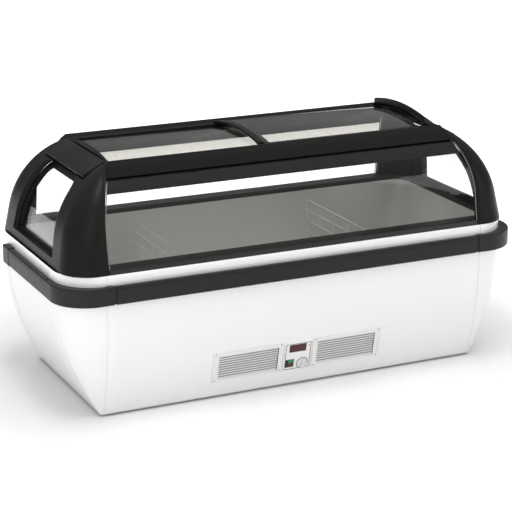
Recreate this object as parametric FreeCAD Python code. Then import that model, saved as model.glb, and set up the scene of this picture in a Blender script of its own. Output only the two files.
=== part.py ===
import FreeCAD, Part
import math
import os

V = FreeCAD.Vector

# All sizes in millimetres. The parts are drawn about the cabinet's own centre, with z = 0 at the bottom
# edge of the cabinet, and save() moves them so that the origin is under the middle of the whole object.
# X runs along the freezer, -Y is the shopper's side with the controls, +Z is up.

# ---- Driving dimensions: cabinet
CABINET_LENGTH = 1798.0
CABINET_DEPTH = 807.0
CABINET_HEIGHT = 535.0
CORNER_RADIUS = 146.0        # of the cabinet's top edge, seen from above
END_TUCK = 134.0             # how far each end comes in at the bottom
END_TUCK_HEIGHT = 445.0      # where the end's curve starts
FRONT_TUCK = 65.0
FRONT_TUCK_HEIGHT = 400.0
PANEL_WALL = 1.2
PANEL_GAP = 0.8
FOOT_HEIGHT = 8.0
FOOT_RADIUS = 24.0
BASE_WALL = 2.0
END_SEAM_IN = 146.5           # seam between an end panel and its corner pieces, from the front

# ---- Tub, foam and evaporator
LINER_WALL = 1.5
FOAM_RIM = 68.0              # foam between the cabinet and the liner at the rim
FOAM_LOW = 52.0              # the same at the liner's floor
FLOOR_HEIGHT = 100.0
LINER_CORNER = 60.0
BAY_HALF_LENGTH = 362.0      # machine bay under the middle of the tub
BAY_HEIGHT = 250.0
BAY_BACK = 205.0             # y of the bay's rear wall
BAY_FOAM = 42.0              # foam over and beside the machine bay
COIL = 8.0
COIL_HEIGHTS = (340.0, 400.0, 460.0)
WIRE = 4.0
WIRE_PITCH = 38.0
GRID_INSET = 20.0            # keeps the grids' square corners clear of the liner's round ones
GRID_LIFT = 12.0             # height of the floor grids' wires over the liner

# ---- Bumper
BUMPER_OUT = 26.0
BUMPER_LOW = 434.0
BUMPER_HIGH = 500.0
BUMPER_RADIUS = 139.0
BUMPER_CHAMFER = 5.0
BUMPER_SEAM_IN = 165.0        # from the cabinet's end, and from its front on the ends
BUMPER_SIDE_IN = 236.5        # side bars stop this far from the rear
BUMPER_END_IN = 167.5         # and their end caps this far
BUMPER_SCREW_IN = 13.0        # from the seam
SCREW_RADIUS = 4.5
SCREW_HEAD = 1.6
SCREW_SUNK = 6.0             # depth of the bumper's screws

# ---- Hood: each side leans in, then turns over in an arc
HOOD_INSET = 1.0             # at its foot, inside the cabinet's top edge
HOOD_LEAN = 9.76             # degrees, front and rear
HOOD_KNEE = 660.0
HOOD_ARC = 310.0
END_LEAN = 9.0               # degrees, both ends
END_INSET = 9.0
END_KNEE = 620.0
END_ARC = 350.0
HOOD_CORNER = 112.0
HOOD_TOP = 885.0
HOOD_WALL = 22.0
GLASS = 6.0
GLASS_INSET = 2.0            # the glass lies this far inside the posts' surface
GLASS_TOP = 836.0
SILL_HEIGHT = 18.0
SEAM_IN = 157.0               # post to glass seam, from the cabinet's end
SEAM_KNEE = 660.0
SEAM_ARC = 403.0
SEAM_GAP = 1.0
HEADER_LOW = 797.0
REAR_HEADER_LOW = 820.0
HEADER_WALL = 4.0

# ---- End windows and end caps
WINDOW_LOW = 565.0
WINDOW_HIGH = 830.0           # the end cap's lower edge
WINDOW_FOOT_IN = 190.5        # from the cabinet's front
WINDOW_TOP_IN = 247.5
WINDOW_CORNER = 55.0
WINDOW_OVERLAP = 11.5
WINDOW_FRAME_WALL = 12.0
WINDOW_HEAD = 30.0            # width of the window frame's top bar
WINDOW_SCREW_IN = 24.0
WINDOW_SCREW_DEEP = 4.0
CAP_SIDE_IN = 208.5           # from the cabinet's front
CAP_INNER_IN = 227.0          # from the cabinet's end
CAP_RIDGE_IN = 221.0
CAP_TOP = 888.0
CAP_OUTER_IN = 142.0
CAP_LOW = 842.0
CAP_LIP = 12.0
CAP_TURN = 7.0                # the cap's outer lip leans back by this
CAP_WALL = 22.0
CAP_RISE = 3.0

# ---- Top rails and their two tracks
RAIL_LIP_IN = 216.5           # from the cabinet's front
RAIL_FLAT = 18.0
RAIL_TOP = 884.0
GUARD_IN = 173.5              # raised edge outside the upper track
GUARD_Z = 896.0
RAIL_NOSE_IN = 153.5
RAIL_NOSE_Z = 878.0
RAIL_FOOT_IN = 130.5
RAIL_FOOT_Z = 845.0
TRACK_HEIGHT = 866.0
TRACK_WIDTH = 15.0
TRACK_WALL = 6.0

# ---- Sliding lids: the left one runs on the lower track, the right one on the rails' lips
LID_ARC = 884.0
LID_GLASS = 4.0
RUN_GAP = 0.3
LOW_APEX = 897.0
LOW_OUTER_IN = 231.0
LOW_INNER = -20.0
LOW_FRAME = 13.0
LOW_HANDLE_RISE = 5.5
LOW_SEAL_RISE = 4.0
HIGH_APEX = 913.0
HIGH_EDGE_ROOM = 8.0         # between the upper lid's edge and the guard
HIGH_INNER = -80.0
HIGH_OUTER_IN = 247.0
HIGH_FRAME = 39.0
HIGH_ARCH = 25.0
HIGH_SEAL_RISE = 3.0
HIGH_FRAME_RISE = 8.0
HIGH_FRAME_FALL = 12.0
HANDLE_TOP = 943.0
HANDLE_WIDTH = 11.0
RIDGE_ROOM = 1.0              # between that ridge and the lid
CLOSING_RIDGE = 16.0         # arched ridge on the right cap, under the upper lid's end

# ---- Front control group, on a plate that leans with the cabinet's front
PLATE_LOW = 60.0
PLATE_HEIGHT = 122.0
PLATE_WALL = 3.0
PLATE_PROUD = 2.0
GRILLE_INNER = 60.0
GRILLE_OUTER = 342.0
LOUVRE_INNER = 80.0
LOUVRE_OUTER = 320.0
LOUVRE_LOW = 9.0
LOUVRE_COUNT = 10
LOUVRE_PITCH = 10.0
LOUVRE_SLOT = 5.5
PANEL_HALF = 56.0
PANEL_HEIGHT = 115.0
DISPLAY_X = (-37.0, 32.0)
DISPLAY_V = (76.0, 108.0)
DISPLAY_FIT = 0.2
DISPLAY_PROUD = 0.5
KNOB_X = 21.0
KNOB_V = 24.0
KNOB_RADIUS = 20.0
KNOB_HEIGHT = 16.0
KNOB_CLEAR = 1.0              # between the knob and the plate
KNOB_TAPER = 2.0
KNOB_SKIRT = 7.2
GRIP_HALF = 4.0
GRIP_IN = 3.0
SHAFT_RADIUS = 3.0
SHAFT_FIT = 0.06
ROCKER_X = -31.0
ROCKER_LENGTH = 30.0
ROCKER_WIDTH = 12.0
GREEN_V = 38.0
RED_V = 21.5
ROCKER_TILT = 7.0
BEZEL = 1.6
PIVOT = 4.0                   # depth of the rockers' pivots behind the plate's face
PIN_RADIUS = 1.5
PIN_FIT = 0.06
PIN_OUT = 1.2                 # how far each pin stands out of its rocker
BEZEL_PROUD = 1.2
ROCKER_WELL = 12.0            # depth of the housing's wells
ROCKER_HIGH = 2.4             # a rocker's ends stand this far out of the plate
ROCKER_VALLEY = 1.2           # and its middle this far
ROCKER_DEEP = 6.0
HOUSING_GAP = 0.1
HOUSING_IN_X = 6.0            # from the plate's sides
HOUSING_IN_V = 4.0            # and from its top and bottom
HOUSING_DEPTH = 42.0
SHAFT_BORE = 20.0
SHAFT_END = 18.0              # the shaft's end, behind the plate
CLEAR = 0.4

# ---- Machine bay
COMPRESSOR_X = -215.0
COMPRESSOR_Y = -120.0
COMPRESSOR_RADIUS = 78.0
COMPRESSOR_HEIGHT = 150.0
MOUNT_HEIGHT = 14.0
CONDENSER_X = 205.0
CONDENSER_HALF = 118.0
CONDENSER_HEIGHT = 200.0
CONDENSER_IN = 103.5          # from the cabinet's front
CONDENSER_DEPTH = 60.0
FIN_PITCH = 11.0
FIN = 1.0
FAN_RADIUS = 84.0
FAN_HUB = 24.0
FAN_DEPTH = 26.0
FAN_BLADES = 7
BLADE_HALF = 17.0
BLADE_PITCH = 50.0
FAN_SHAFT = 4.0
FAN_FIT = 0.06
MOTOR_RADIUS = 34.0
MOTOR_LENGTH = 53.0
FOOT_HALF_X = 85.0            # compressor's foot plate
FOOT_HALF_Y = 60.0
FOOT_PLATE = 3.0
CAN_FILLET = 34.0
STUB_RADIUS = 5.0
STUB_HEIGHT = 90.0
STUB_REACH = 105.0
MOUNT_RADIUS = 11.0
MOUNT_IN = 14.0
SIDE_PLATE = 2.0
FIN_START = 3.0
TUBE_ROWS = 3
TUBE_IN = 40.0
TUBE_RADIUS = 4.0
SHROUD_GAP = 0.3
SHROUD_DEPTH = 34.0
FAN_ROOM = 4.0
STRAP_REACH = 12.0
STRAP_WALL = 3.0
STRAP_HALF = 7.0
HUB_IN = 5.0                  # the hub starts this far behind the condenser
SHAFT_IN = 8.0                # and the shaft this far

# ---- Worked out from the above
HALF_LENGTH = CABINET_LENGTH / 2
HALF_DEPTH = CABINET_DEPTH / 2
CORNER_SEAM_X = HALF_LENGTH - CORNER_RADIUS
END_SEAM_Y = HALF_DEPTH - END_SEAM_IN
BUMPER_SEAM_X = HALF_LENGTH - BUMPER_SEAM_IN
BUMPER_SEAM_Y = HALF_DEPTH - BUMPER_SEAM_IN - 0.5
BUMPER_END_SEAM = HALF_DEPTH - BUMPER_SIDE_IN
BUMPER_END = HALF_DEPTH - BUMPER_END_IN
BUMPER_SCREW_X = BUMPER_SEAM_X + BUMPER_SCREW_IN
SEAM_HALF = HALF_LENGTH - SEAM_IN
WINDOW_FOOT_HALF = HALF_DEPTH - WINDOW_FOOT_IN
WINDOW_TOP_HALF = HALF_DEPTH - WINDOW_TOP_IN
CAP_HALF = HALF_DEPTH - CAP_SIDE_IN
CAP_INNER = HALF_LENGTH - CAP_INNER_IN
CAP_RIDGE = HALF_LENGTH - CAP_RIDGE_IN
CAP_OUTER = HALF_LENGTH - CAP_OUTER_IN
RAIL_LIP = HALF_DEPTH - RAIL_LIP_IN
GUARD_Y = HALF_DEPTH - GUARD_IN
RAIL_NOSE_Y = HALF_DEPTH - RAIL_NOSE_IN
RAIL_FOOT_Y = HALF_DEPTH - RAIL_FOOT_IN
LOW_OUTER = LOW_OUTER_IN - HALF_LENGTH
HIGH_OUTER = HALF_LENGTH - HIGH_OUTER_IN
CONDENSER_FRONT = CONDENSER_IN - HALF_DEPTH
FAR = 2000.0
os.makedirs("parts", exist_ok=True)


def save(name, *solids):
    """Write one node, moved to the object's frame."""
    pieces = []
    for solid in solids:
        pieces.extend(solid.Solids)
    shape = pieces[0] if len(pieces) == 1 else Part.makeCompound(pieces)
    shape = shape.copy()
    shape.translate(V(0, BUMPER_OUT / 2, FOOT_HEIGHT))
    shape.exportStep("parts/" + name + ".step")


def box(x0, x1, y0, y1, z0, z1):
    return Part.makeBox(x1 - x0, y1 - y0, z1 - z0, V(x0, y0, z0))


def rod(radius, start, end):
    axis = end - start
    return Part.makeCylinder(radius, axis.Length, start, axis)


def flip_x(shape):
    return shape.mirror(V(0, 0, 0), V(1, 0, 0))


def flip_y(shape):
    return shape.mirror(V(0, 0, 0), V(0, 1, 0))


def outline(points, radii):
    """Closed wire through the points, each corner rounded by its radius."""
    count = len(points)
    arrive, leave, middle = [], [], []
    for i in range(count):
        here = points[i]
        back = (points[i - 1] - here).normalize()
        on = (points[(i + 1) % count] - here).normalize()
        if radii[i] == 0:
            arrive.append(here)
            leave.append(here)
            middle.append(None)
            continue
        half = back.getAngle(on) / 2
        run = radii[i] / math.tan(half)
        centre = here + (back + on).normalize() * (radii[i] / math.sin(half))
        arrive.append(here + back * run)
        leave.append(here + on * run)
        middle.append(centre + (here - centre).normalize() * radii[i])
    edges = []
    for i in range(count):
        if middle[i] is not None:
            edges.append(Part.Arc(arrive[i], middle[i], leave[i]).toShape())
        edges.append(Part.LineSegment(leave[i], arrive[(i + 1) % count]).toShape())
    return Part.Wire(edges)


def prism_x(points, x0, x1, radii=None):
    """Solid along X from (y, z) points."""
    wire = outline([V(x0, y, z) for y, z in points], radii or [0] * len(points))
    return Part.Face(wire).extrude(V(x1 - x0, 0, 0))


def prism_y(points, y0, y1, radii=None):
    """Solid along Y from (x, z) points."""
    wire = outline([V(x, y0, z) for x, z in points], radii or [0] * len(points))
    return Part.Face(wire).extrude(V(0, y1 - y0, 0))


def rounded(half_x, half_y, radius, z):
    """Rounded rectangle about the centre, at one height."""
    corners = [V(-half_x, -half_y, z), V(half_x, -half_y, z), V(half_x, half_y, z), V(-half_x, half_y, z)]
    return outline(corners, [radius] * 4)


def slab(half_x, half_y, radius, z0, z1):
    return Part.Face(rounded(half_x, half_y, radius, z0)).extrude(V(0, 0, z1 - z0))


def loft(sections, ruled=False):
    return Part.makeLoft([rounded(*section) for section in sections], True, ruled)


# ---------------------------------------------------------------- cabinet

def cabinet_half(z):
    """Half length and half depth of the cabinet at a height: vertical above, a parabola below."""
    end = max(0.0, 1 - z / END_TUCK_HEIGHT)
    front = max(0.0, 1 - z / FRONT_TUCK_HEIGHT)
    return HALF_LENGTH - END_TUCK * end ** 2, HALF_DEPTH - FRONT_TUCK * front ** 2


def cabinet_solid(inset, low, high):
    levels = [0.0, 55.0, 115.0, 180.0, 250.0, 325.0, 400.0, 445.0, CABINET_HEIGHT]
    levels = [low] + [z for z in levels if low + 10 < z < high - 10] + [high]
    sections = []
    for z in levels:
        half_x, half_y = cabinet_half(z)
        radius = max(half_x - CORNER_SEAM_X - inset, 3.0)
        sections.append((half_x - inset, half_y - inset, radius, z))
    return loft(sections)


def front_lean():
    """Where the front's lower part starts, and the angle that the control group leans by."""
    low = cabinet_half(PLATE_LOW)[1]
    high = cabinet_half(PLATE_LOW + PLATE_HEIGHT)[1]
    return low, math.degrees(math.atan((high - low) / PLATE_HEIGHT))


PLATE_Y, PLATE_LEAN = front_lean()


def on_front(shape):
    """Move a shape drawn flat (x, outwards -y, up from 0) on to the leaning front."""
    shape = shape.copy()
    shape.rotate(V(0, 0, 0), V(1, 0, 0), PLATE_LEAN)
    shape.translate(V(0, -PLATE_Y - PLATE_PROUD, PLATE_LOW))
    return shape


def cabinet_panels():
    shell = cabinet_solid(0, 0, CABINET_HEIGHT).cut(cabinet_solid(PANEL_WALL, 0, CABINET_HEIGHT))
    half_gap = PANEL_GAP / 2
    x = CORNER_SEAM_X
    y = END_SEAM_Y
    front = shell.common(box(-x + half_gap, x - half_gap, -FAR, 0, 0, CABINET_HEIGHT))
    rear = shell.common(box(-x + half_gap, x - half_gap, 0, FAR, 0, CABINET_HEIGHT))
    grille = box(GRILLE_INNER - CLEAR, GRILLE_OUTER + CLEAR, -30, 30, -CLEAR, PLATE_HEIGHT + CLEAR)
    controls = box(-PANEL_HALF - CLEAR, PANEL_HALF + CLEAR, -30, 30, -CLEAR, PANEL_HEIGHT + CLEAR)
    for opening in (grille, flip_x(grille), controls):
        front = front.cut(on_front(opening))
    save("front_panel", front)
    save("rear_panel", rear)
    right = shell.common(box(x + half_gap, FAR, -y + half_gap, y - half_gap, 0, CABINET_HEIGHT))
    save("right_end_panel", right)
    save("left_end_panel", flip_x(right))
    corner = shell.common(box(x + half_gap, FAR, -FAR, -y - half_gap, 0, CABINET_HEIGHT))
    save("front_right_corner", corner)
    save("front_left_corner", flip_x(corner))
    save("rear_right_corner", flip_y(corner))
    save("rear_left_corner", flip_y(flip_x(corner)))


def base_and_feet():
    half_x, half_y = cabinet_half(0)
    inset = PANEL_WALL + 0.5
    save("base_pan", slab(half_x - inset, half_y - inset, 8.0, 0, BASE_WALL))
    feet = []
    for x in (-half_x + 150, half_x - 150):
        for y in (-half_y + 90, half_y - 90):
            feet.append(rod(FOOT_RADIUS, V(x, y, -FOOT_HEIGHT), V(x, y, 0)))
    save("glide_feet", *feet)


def tub(grow):
    """The tub's cavity, stepped over the machine bay, larger all round by grow."""
    rim_x, rim_y = HALF_LENGTH - FOAM_RIM, HALF_DEPTH - FOAM_RIM
    half_x, half_y = cabinet_half(FLOOR_HEIGHT)
    low_x, low_y = half_x - FOAM_LOW, half_y - FOAM_LOW
    floor = FLOOR_HEIGHT - grow
    cavity = loft([(low_x + grow, low_y + grow, LINER_CORNER + grow, floor),
                   (rim_x + grow, rim_y + grow, LINER_CORNER + grow, CABINET_HEIGHT)], True)
    step_half = BAY_HALF_LENGTH + BAY_FOAM - grow
    step = box(-step_half, step_half, -FAR, FAR, 0, BAY_HEIGHT + BAY_FOAM - grow)
    return cavity.cut(step)


def evaporator():
    """Flat tube wound round the liner, and a riser that joins the turns."""
    band = tub(LINER_WALL + COIL).cut(tub(LINER_WALL))
    turns = [band.common(box(-FAR, FAR, -FAR, FAR, z, z + COIL)) for z in COIL_HEIGHTS]
    riser = band.common(box(500, 500 + COIL, 0, FAR, COIL_HEIGHTS[0], COIL_HEIGHTS[-1] + COIL))
    return turns[0].fuse(turns[1:] + [riser]).removeSplitter()


def liner_and_foam():
    liner = tub(LINER_WALL).cut(tub(0))
    save("inner_liner", liner)
    coil = evaporator()
    save("evaporator_coil", coil)
    foam = cabinet_solid(PANEL_WALL + 0.2, 0, CABINET_HEIGHT).cut(tub(LINER_WALL)).cut(coil)
    foam = foam.common(box(-FAR, FAR, -FAR, FAR, BASE_WALL, CABINET_HEIGHT))
    bay = box(-BAY_HALF_LENGTH, BAY_HALF_LENGTH, -FAR, BAY_BACK, 0, BAY_HEIGHT)
    save("insulation_foam", foam.cut(bay))


def wire_grid(x0, x1, y0, y1, z):
    """Welded grid: a border, long wires below and cross wires on them."""
    bars = [box(x0, x1, y0, y0 + WIRE, z, z + WIRE), box(x0, x1, y1 - WIRE, y1, z, z + WIRE),
            box(x0, x0 + WIRE, y0, y1, z, z + WIRE), box(x1 - WIRE, x1, y0, y1, z, z + WIRE)]
    across = int((x1 - x0) / WIRE_PITCH)
    for i in range(1, across):
        x = x0 + (x1 - x0) * i / across
        bars.append(box(x - WIRE / 2, x + WIRE / 2, y0, y1, z + WIRE / 2, z + WIRE * 1.5))
    along = int((y1 - y0) / WIRE_PITCH / 3)
    for i in range(1, along):
        y = y0 + (y1 - y0) * i / along
        bars.append(box(x0, x1, y - WIRE / 2, y + WIRE / 2, z, z + WIRE))
    return bars[0].fuse(bars[1:])


def grids():
    half_x, half_y = cabinet_half(FLOOR_HEIGHT)
    far_x = half_x - FOAM_LOW - GRID_INSET
    side_y = half_y - FOAM_LOW - GRID_INSET
    near_x = BAY_HALF_LENGTH + BAY_FOAM + 10
    step_top = BAY_HEIGHT + BAY_FOAM
    low = wire_grid(near_x, far_x, -side_y, side_y, FLOOR_HEIGHT + GRID_LIFT)
    half = WIRE / 2
    legs = [box(x - half, x + half, y - half, y + half, FLOOR_HEIGHT, FLOOR_HEIGHT + GRID_LIFT)
            for x in (near_x + half, far_x - half) for y in (half - side_y, side_y - half)]
    low = low.fuse(legs)
    save("floor_grids", low, flip_x(low))
    panels = []
    for x in (BAY_HALF_LENGTH + BAY_FOAM - 30, -(BAY_HALF_LENGTH + BAY_FOAM - 30)):
        flat = wire_grid(step_top, CABINET_HEIGHT - 25, -side_y, side_y, 0)
        flat.rotate(V(0, 0, 0), V(0, 1, 0), -90)
        flat.translate(V(x, 0, 0))
        panels.append(flat)
    save("divider_grids", *panels)


# ---------------------------------------------------------------- bumper

def bumper_solid():
    """The bumper's outer form all round, less the cabinet inside it."""
    sections = [(BUMPER_OUT - BUMPER_CHAMFER, BUMPER_LOW), (BUMPER_OUT, BUMPER_LOW + BUMPER_CHAMFER),
                (BUMPER_OUT, BUMPER_HIGH - BUMPER_CHAMFER), (BUMPER_OUT - BUMPER_CHAMFER, BUMPER_HIGH)]
    solid = None
    for (out0, z0), (out1, z1) in zip(sections, sections[1:]):
        layer = loft([(HALF_LENGTH + out0, HALF_DEPTH + out0, BUMPER_RADIUS - BUMPER_OUT + out0, z0),
                      (HALF_LENGTH + out1, HALF_DEPTH + out1, BUMPER_RADIUS - BUMPER_OUT + out1, z1)], True)
        solid = layer if solid is None else solid.fuse(layer)
    core = slab(HALF_LENGTH + 0.2, HALF_DEPTH + 0.2, CORNER_RADIUS, BUMPER_LOW - 1, BUMPER_HIGH + 1)
    return solid.removeSplitter().cut(core)


def bumper_screw_solids():
    heads = []
    middle = (BUMPER_LOW + BUMPER_HIGH) / 2
    face = -HALF_DEPTH - BUMPER_OUT
    for x in (-BUMPER_SCREW_X, BUMPER_SCREW_X):
        for z in (middle - 20, middle + 20):
            heads.append(rod(SCREW_RADIUS, V(x, face + SCREW_SUNK, z), V(x, face - SCREW_HEAD / 4, z)))
    return heads


def bumper():
    ring = bumper_solid()
    half_gap = PANEL_GAP / 2
    low, high = BUMPER_LOW - 1, BUMPER_HIGH + 1
    screws = bumper_screw_solids()
    for screw in screws:
        ring = ring.cut(screw)
    front_half = BUMPER_SEAM_X - half_gap
    save("bumper_front", ring.common(box(-front_half, front_half, -FAR, 0, low, high)))
    corner = ring.common(box(BUMPER_SEAM_X + half_gap, FAR, -FAR, -BUMPER_SEAM_Y - half_gap, low, high))
    save("bumper_corner_right", corner)
    save("bumper_corner_left", flip_x(corner))
    side = ring.common(box(0, FAR, -BUMPER_SEAM_Y + half_gap, BUMPER_END_SEAM - half_gap, low, high))
    save("bumper_right", side)
    save("bumper_left", flip_x(side))
    end = ring.common(box(HALF_LENGTH, FAR, BUMPER_END_SEAM + half_gap, BUMPER_END, low, high))
    outer = [e for e in end.Edges if e.BoundBox.YMin > BUMPER_END - 0.1 and e.BoundBox.XMin > HALF_LENGTH + 20
             and e.BoundBox.ZLength > 10]
    end = end.makeFillet(12.0, outer)
    save("bumper_end_caps", end, flip_x(end))
    save("bumper_screws", *screws)


# ---------------------------------------------------------------- hood

def lean_and_arc(z, foot, lean, knee, arc, inset=0.0):
    """Half width at a height of a wall that leans in from its foot and turns over in an arc."""
    angle = math.radians(lean)
    knee_half = foot - (knee - CABINET_HEIGHT) * math.tan(angle)
    centre = knee_half - arc * math.cos(angle)
    centre_z = knee - arc * math.sin(angle)
    radius = arc - inset
    knee_z = centre_z + radius * math.sin(angle)
    if z <= knee_z:
        return centre + radius * math.cos(angle) + (knee_z - z) * math.tan(angle)
    return centre + math.sqrt(radius ** 2 - (z - centre_z) ** 2)


def hood_depth(z, inset=0.0):
    return lean_and_arc(z, HALF_DEPTH - HOOD_INSET, HOOD_LEAN, HOOD_KNEE, HOOD_ARC, inset)


def hood_length(z, inset=0.0):
    return lean_and_arc(z, HALF_LENGTH - END_INSET, END_LEAN, END_KNEE, END_ARC, inset)


def hood_solid(inset):
    """The hood's outer form, its corners sharper towards the top."""
    sections = []
    for z in (CABINET_HEIGHT, 600.0, 660.0, 720.0, 775.0, 815.0, 845.0, 868.0, HOOD_TOP):
        rise = (z - CABINET_HEIGHT) / (HOOD_TOP + 15 - CABINET_HEIGHT)
        radius = max(HOOD_CORNER * (1 - rise ** 3) - inset, 3.0)
        sections.append((hood_length(z) - inset, hood_depth(z) - inset, radius, z))
    return loft(sections)


def wall_profile(half, low, high, outer, inner):
    """Section of a curved sheet between two depths below the surface, as a list of (half width, z)."""
    steps = 14
    heights = [low + (high - low) * i / steps for i in range(steps + 1)]
    return heights, [half(z, outer) for z in heights], [half(z, inner) for z in heights]


def sheet_face(half, low, high, outer, inner, place):
    """Face of a curved sheet's section: two smooth curves and two straight ends."""
    heights, out, inn = wall_profile(half, low, high, outer, inner)
    outside = Part.BSplineCurve()
    outside.interpolate([place(h, z) for h, z in zip(out, heights)])
    inside = Part.BSplineCurve()
    inside.interpolate([place(h, z) for h, z in zip(reversed(inn), reversed(heights))])
    top = Part.LineSegment(place(out[-1], high), place(inn[-1], high)).toShape()
    foot = Part.LineSegment(place(inn[0], low), place(out[0], low)).toShape()
    return Part.Face(Part.Wire([outside.toShape(), top, inside.toShape(), foot]))


def front_sheet(low, high, outer, inner):
    """Curved sheet along the front, over the whole length."""
    face = sheet_face(hood_depth, low, high, outer, inner, lambda h, z: V(-HALF_LENGTH, -h, z))
    return face.extrude(V(CABINET_LENGTH, 0, 0))


def end_sheet(low, high, outer, inner):
    """Curved sheet across the right end, over the whole depth."""
    face = sheet_face(hood_length, low, high, outer, inner, lambda h, z: V(h, -HALF_DEPTH, z))
    return face.extrude(V(0, CABINET_DEPTH, 0))


def between_seams(gap):
    """Everything between the posts' seams, less a gap at each."""
    def half(z):
        return SEAM_HALF - SEAM_ARC + math.sqrt(SEAM_ARC ** 2 - max(0.0, z - SEAM_KNEE) ** 2) - gap
    top = HOOD_TOP + 15
    bend = (SEAM_KNEE + top) / 2
    low_right, low_left = V(half(0), -FAR, 0), V(-half(0), -FAR, 0)
    knee_right, knee_left = V(half(0), -FAR, SEAM_KNEE), V(-half(0), -FAR, SEAM_KNEE)
    top_right, top_left = V(half(top), -FAR, top), V(-half(top), -FAR, top)
    edges = [Part.LineSegment(low_left, low_right), Part.LineSegment(low_right, knee_right),
             Part.Arc(knee_right, V(half(bend), -FAR, bend), top_right),
             Part.LineSegment(top_right, top_left),
             Part.Arc(top_left, V(-half(bend), -FAR, bend), knee_left), Part.LineSegment(knee_left, low_left)]
    return Part.Face(Part.Wire([e.toShape() for e in edges])).extrude(V(0, 2 * FAR, 0))


def window_prism(grow, low=None, high=None):
    """The end window's outline, carried along X. A lower top keeps the slope of the sides."""
    foot = WINDOW_LOW - grow if low is None else low
    top = WINDOW_HIGH + grow if high is None else high
    slope = (WINDOW_FOOT_HALF - WINDOW_TOP_HALF) / (WINDOW_HIGH - WINDOW_LOW)
    top_half = WINDOW_TOP_HALF + grow + (WINDOW_HIGH + grow - top) * slope
    foot_half = WINDOW_FOOT_HALF + grow
    points = [(-foot_half, foot), (foot_half, foot), (top_half, top), (-top_half, top)]
    bend = WINDOW_CORNER + grow
    return prism_x(points, 0, FAR, [6.0, 6.0, bend, bend])


def posts():
    shell = hood_solid(0).cut(hood_solid(HOOD_WALL))
    ends = shell.cut(between_seams(0)).cut(window_prism(0, CABINET_HEIGHT - 50))
    ends = ends.cut(box(-FAR, FAR, -CAP_HALF, CAP_HALF, CAP_LOW - CAP_LIP, FAR))
    post = ends.common(box(0, FAR, -FAR, 0, 0, FAR))
    post = max(post.Solids, key=lambda s: s.Volume)
    save("front_right_post", post)
    save("front_left_post", flip_x(post))
    save("rear_right_post", flip_y(post))
    save("rear_left_post", flip_y(flip_x(post)))
    return post


def hood_sill(post):
    """Black frame that closes the foam and carries the hood."""
    top = CABINET_HEIGHT + SILL_HEIGHT
    low, high = (CABINET_HEIGHT, top)
    ring = loft([(hood_length(z), hood_depth(z), HOOD_CORNER, z) for z in (low, high)], True)
    hole = slab(HALF_LENGTH - FOAM_RIM, HALF_DEPTH - FOAM_RIM, LINER_CORNER, low - 1, high + 1)
    ring = ring.cut(hole)
    for corner in (post, flip_x(post), flip_y(post), flip_y(flip_x(post))):
        ring = ring.cut(corner)
    ring = max(ring.Solids, key=lambda s: s.Volume)
    save("hood_sill", ring)


def rail_solid():
    """Rail over the front glass: face, raised guard, upper track on its lip, lower track below it."""
    lip = RAIL_LIP
    guard_foot = lip + RAIL_FLAT
    points = [(-RAIL_FOOT_Y, RAIL_FOOT_Z), (-RAIL_NOSE_Y, RAIL_NOSE_Z), (-GUARD_Y, GUARD_Z),
              (-guard_foot - 3, RAIL_TOP), (-lip, RAIL_TOP), (-lip, TRACK_HEIGHT),
              (-lip + TRACK_WIDTH, TRACK_HEIGHT), (-lip + TRACK_WIDTH, TRACK_HEIGHT - TRACK_WALL),
              (-guard_foot, TRACK_HEIGHT - TRACK_WALL), (-GUARD_Y, RAIL_NOSE_Z - 8),
              (-RAIL_FOOT_Y + 10, RAIL_FOOT_Z - 6)]
    radii = [1.5, 5.0, 5.0, 3.0, 1.0, 0, 0, 0, 3.0, 4.0, 0]
    bar = prism_x(points, -HALF_LENGTH, HALF_LENGTH, radii)
    return bar.common(between_seams(SEAM_GAP))


def hood_glazing():
    seams = between_seams(SEAM_GAP)
    sill_top = CABINET_HEIGHT + SILL_HEIGHT
    front = front_sheet(sill_top, GLASS_TOP, GLASS_INSET, GLASS_INSET + GLASS).common(seams)
    save("front_glass", front)
    save("rear_glass", flip_y(front))
    rail = rail_solid()
    save("front_rail", rail)
    save("rear_rail", flip_y(rail))
    behind = GLASS_INSET + GLASS + 0.5
    strips = []
    for low in (HEADER_LOW, REAR_HEADER_LOW):
        strip = front_sheet(low, RAIL_FOOT_Z + 1, behind, behind + HEADER_WALL)
        strip = strip.common(between_seams(SEAM_GAP + 5)).cut(rail)
        strips.append(max(strip.Solids, key=lambda s: s.Volume))
    save("header_strips", strips[0], flip_y(strips[1]))


def end_windows():
    sill_top = CABINET_HEIGHT + SILL_HEIGHT
    high = WINDOW_HIGH + WINDOW_OVERLAP + 1
    front_depth = HOOD_WALL + 0.8
    slot = window_prism(-WINDOW_FRAME_WALL, high=WINDOW_HIGH - WINDOW_HEAD)
    frame = end_sheet(sill_top, high, front_depth, front_depth + WINDOW_FRAME_WALL)
    frame = frame.common(window_prism(WINDOW_OVERLAP, high=WINDOW_HIGH + 6)).cut(slot)
    pane_depth = front_depth + (WINDOW_FRAME_WALL - GLASS) / 2
    pane = end_sheet(sill_top, high, pane_depth, pane_depth + GLASS).common(slot)
    save("right_end_glass", pane)
    save("left_end_glass", flip_x(pane))
    screws = []
    z = WINDOW_HIGH - WINDOW_HEAD / 2
    face = V(hood_length(z, front_depth), 0, z)
    outwards = V(2, 0, hood_length(z - 1) - hood_length(z + 1)).normalize()
    for y in (-WINDOW_TOP_HALF + WINDOW_SCREW_IN, WINDOW_TOP_HALF - WINDOW_SCREW_IN):
        seat = face + V(0, y, 0)
        screws.append(rod(SCREW_RADIUS, seat - outwards * WINDOW_SCREW_DEEP, seat + outwards * SCREW_HEAD))
        frame = frame.cut(screws[-1])
    save("right_window_frame", frame)
    save("left_window_frame", flip_x(frame))
    return screws + [flip_x(s) for s in screws]


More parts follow.
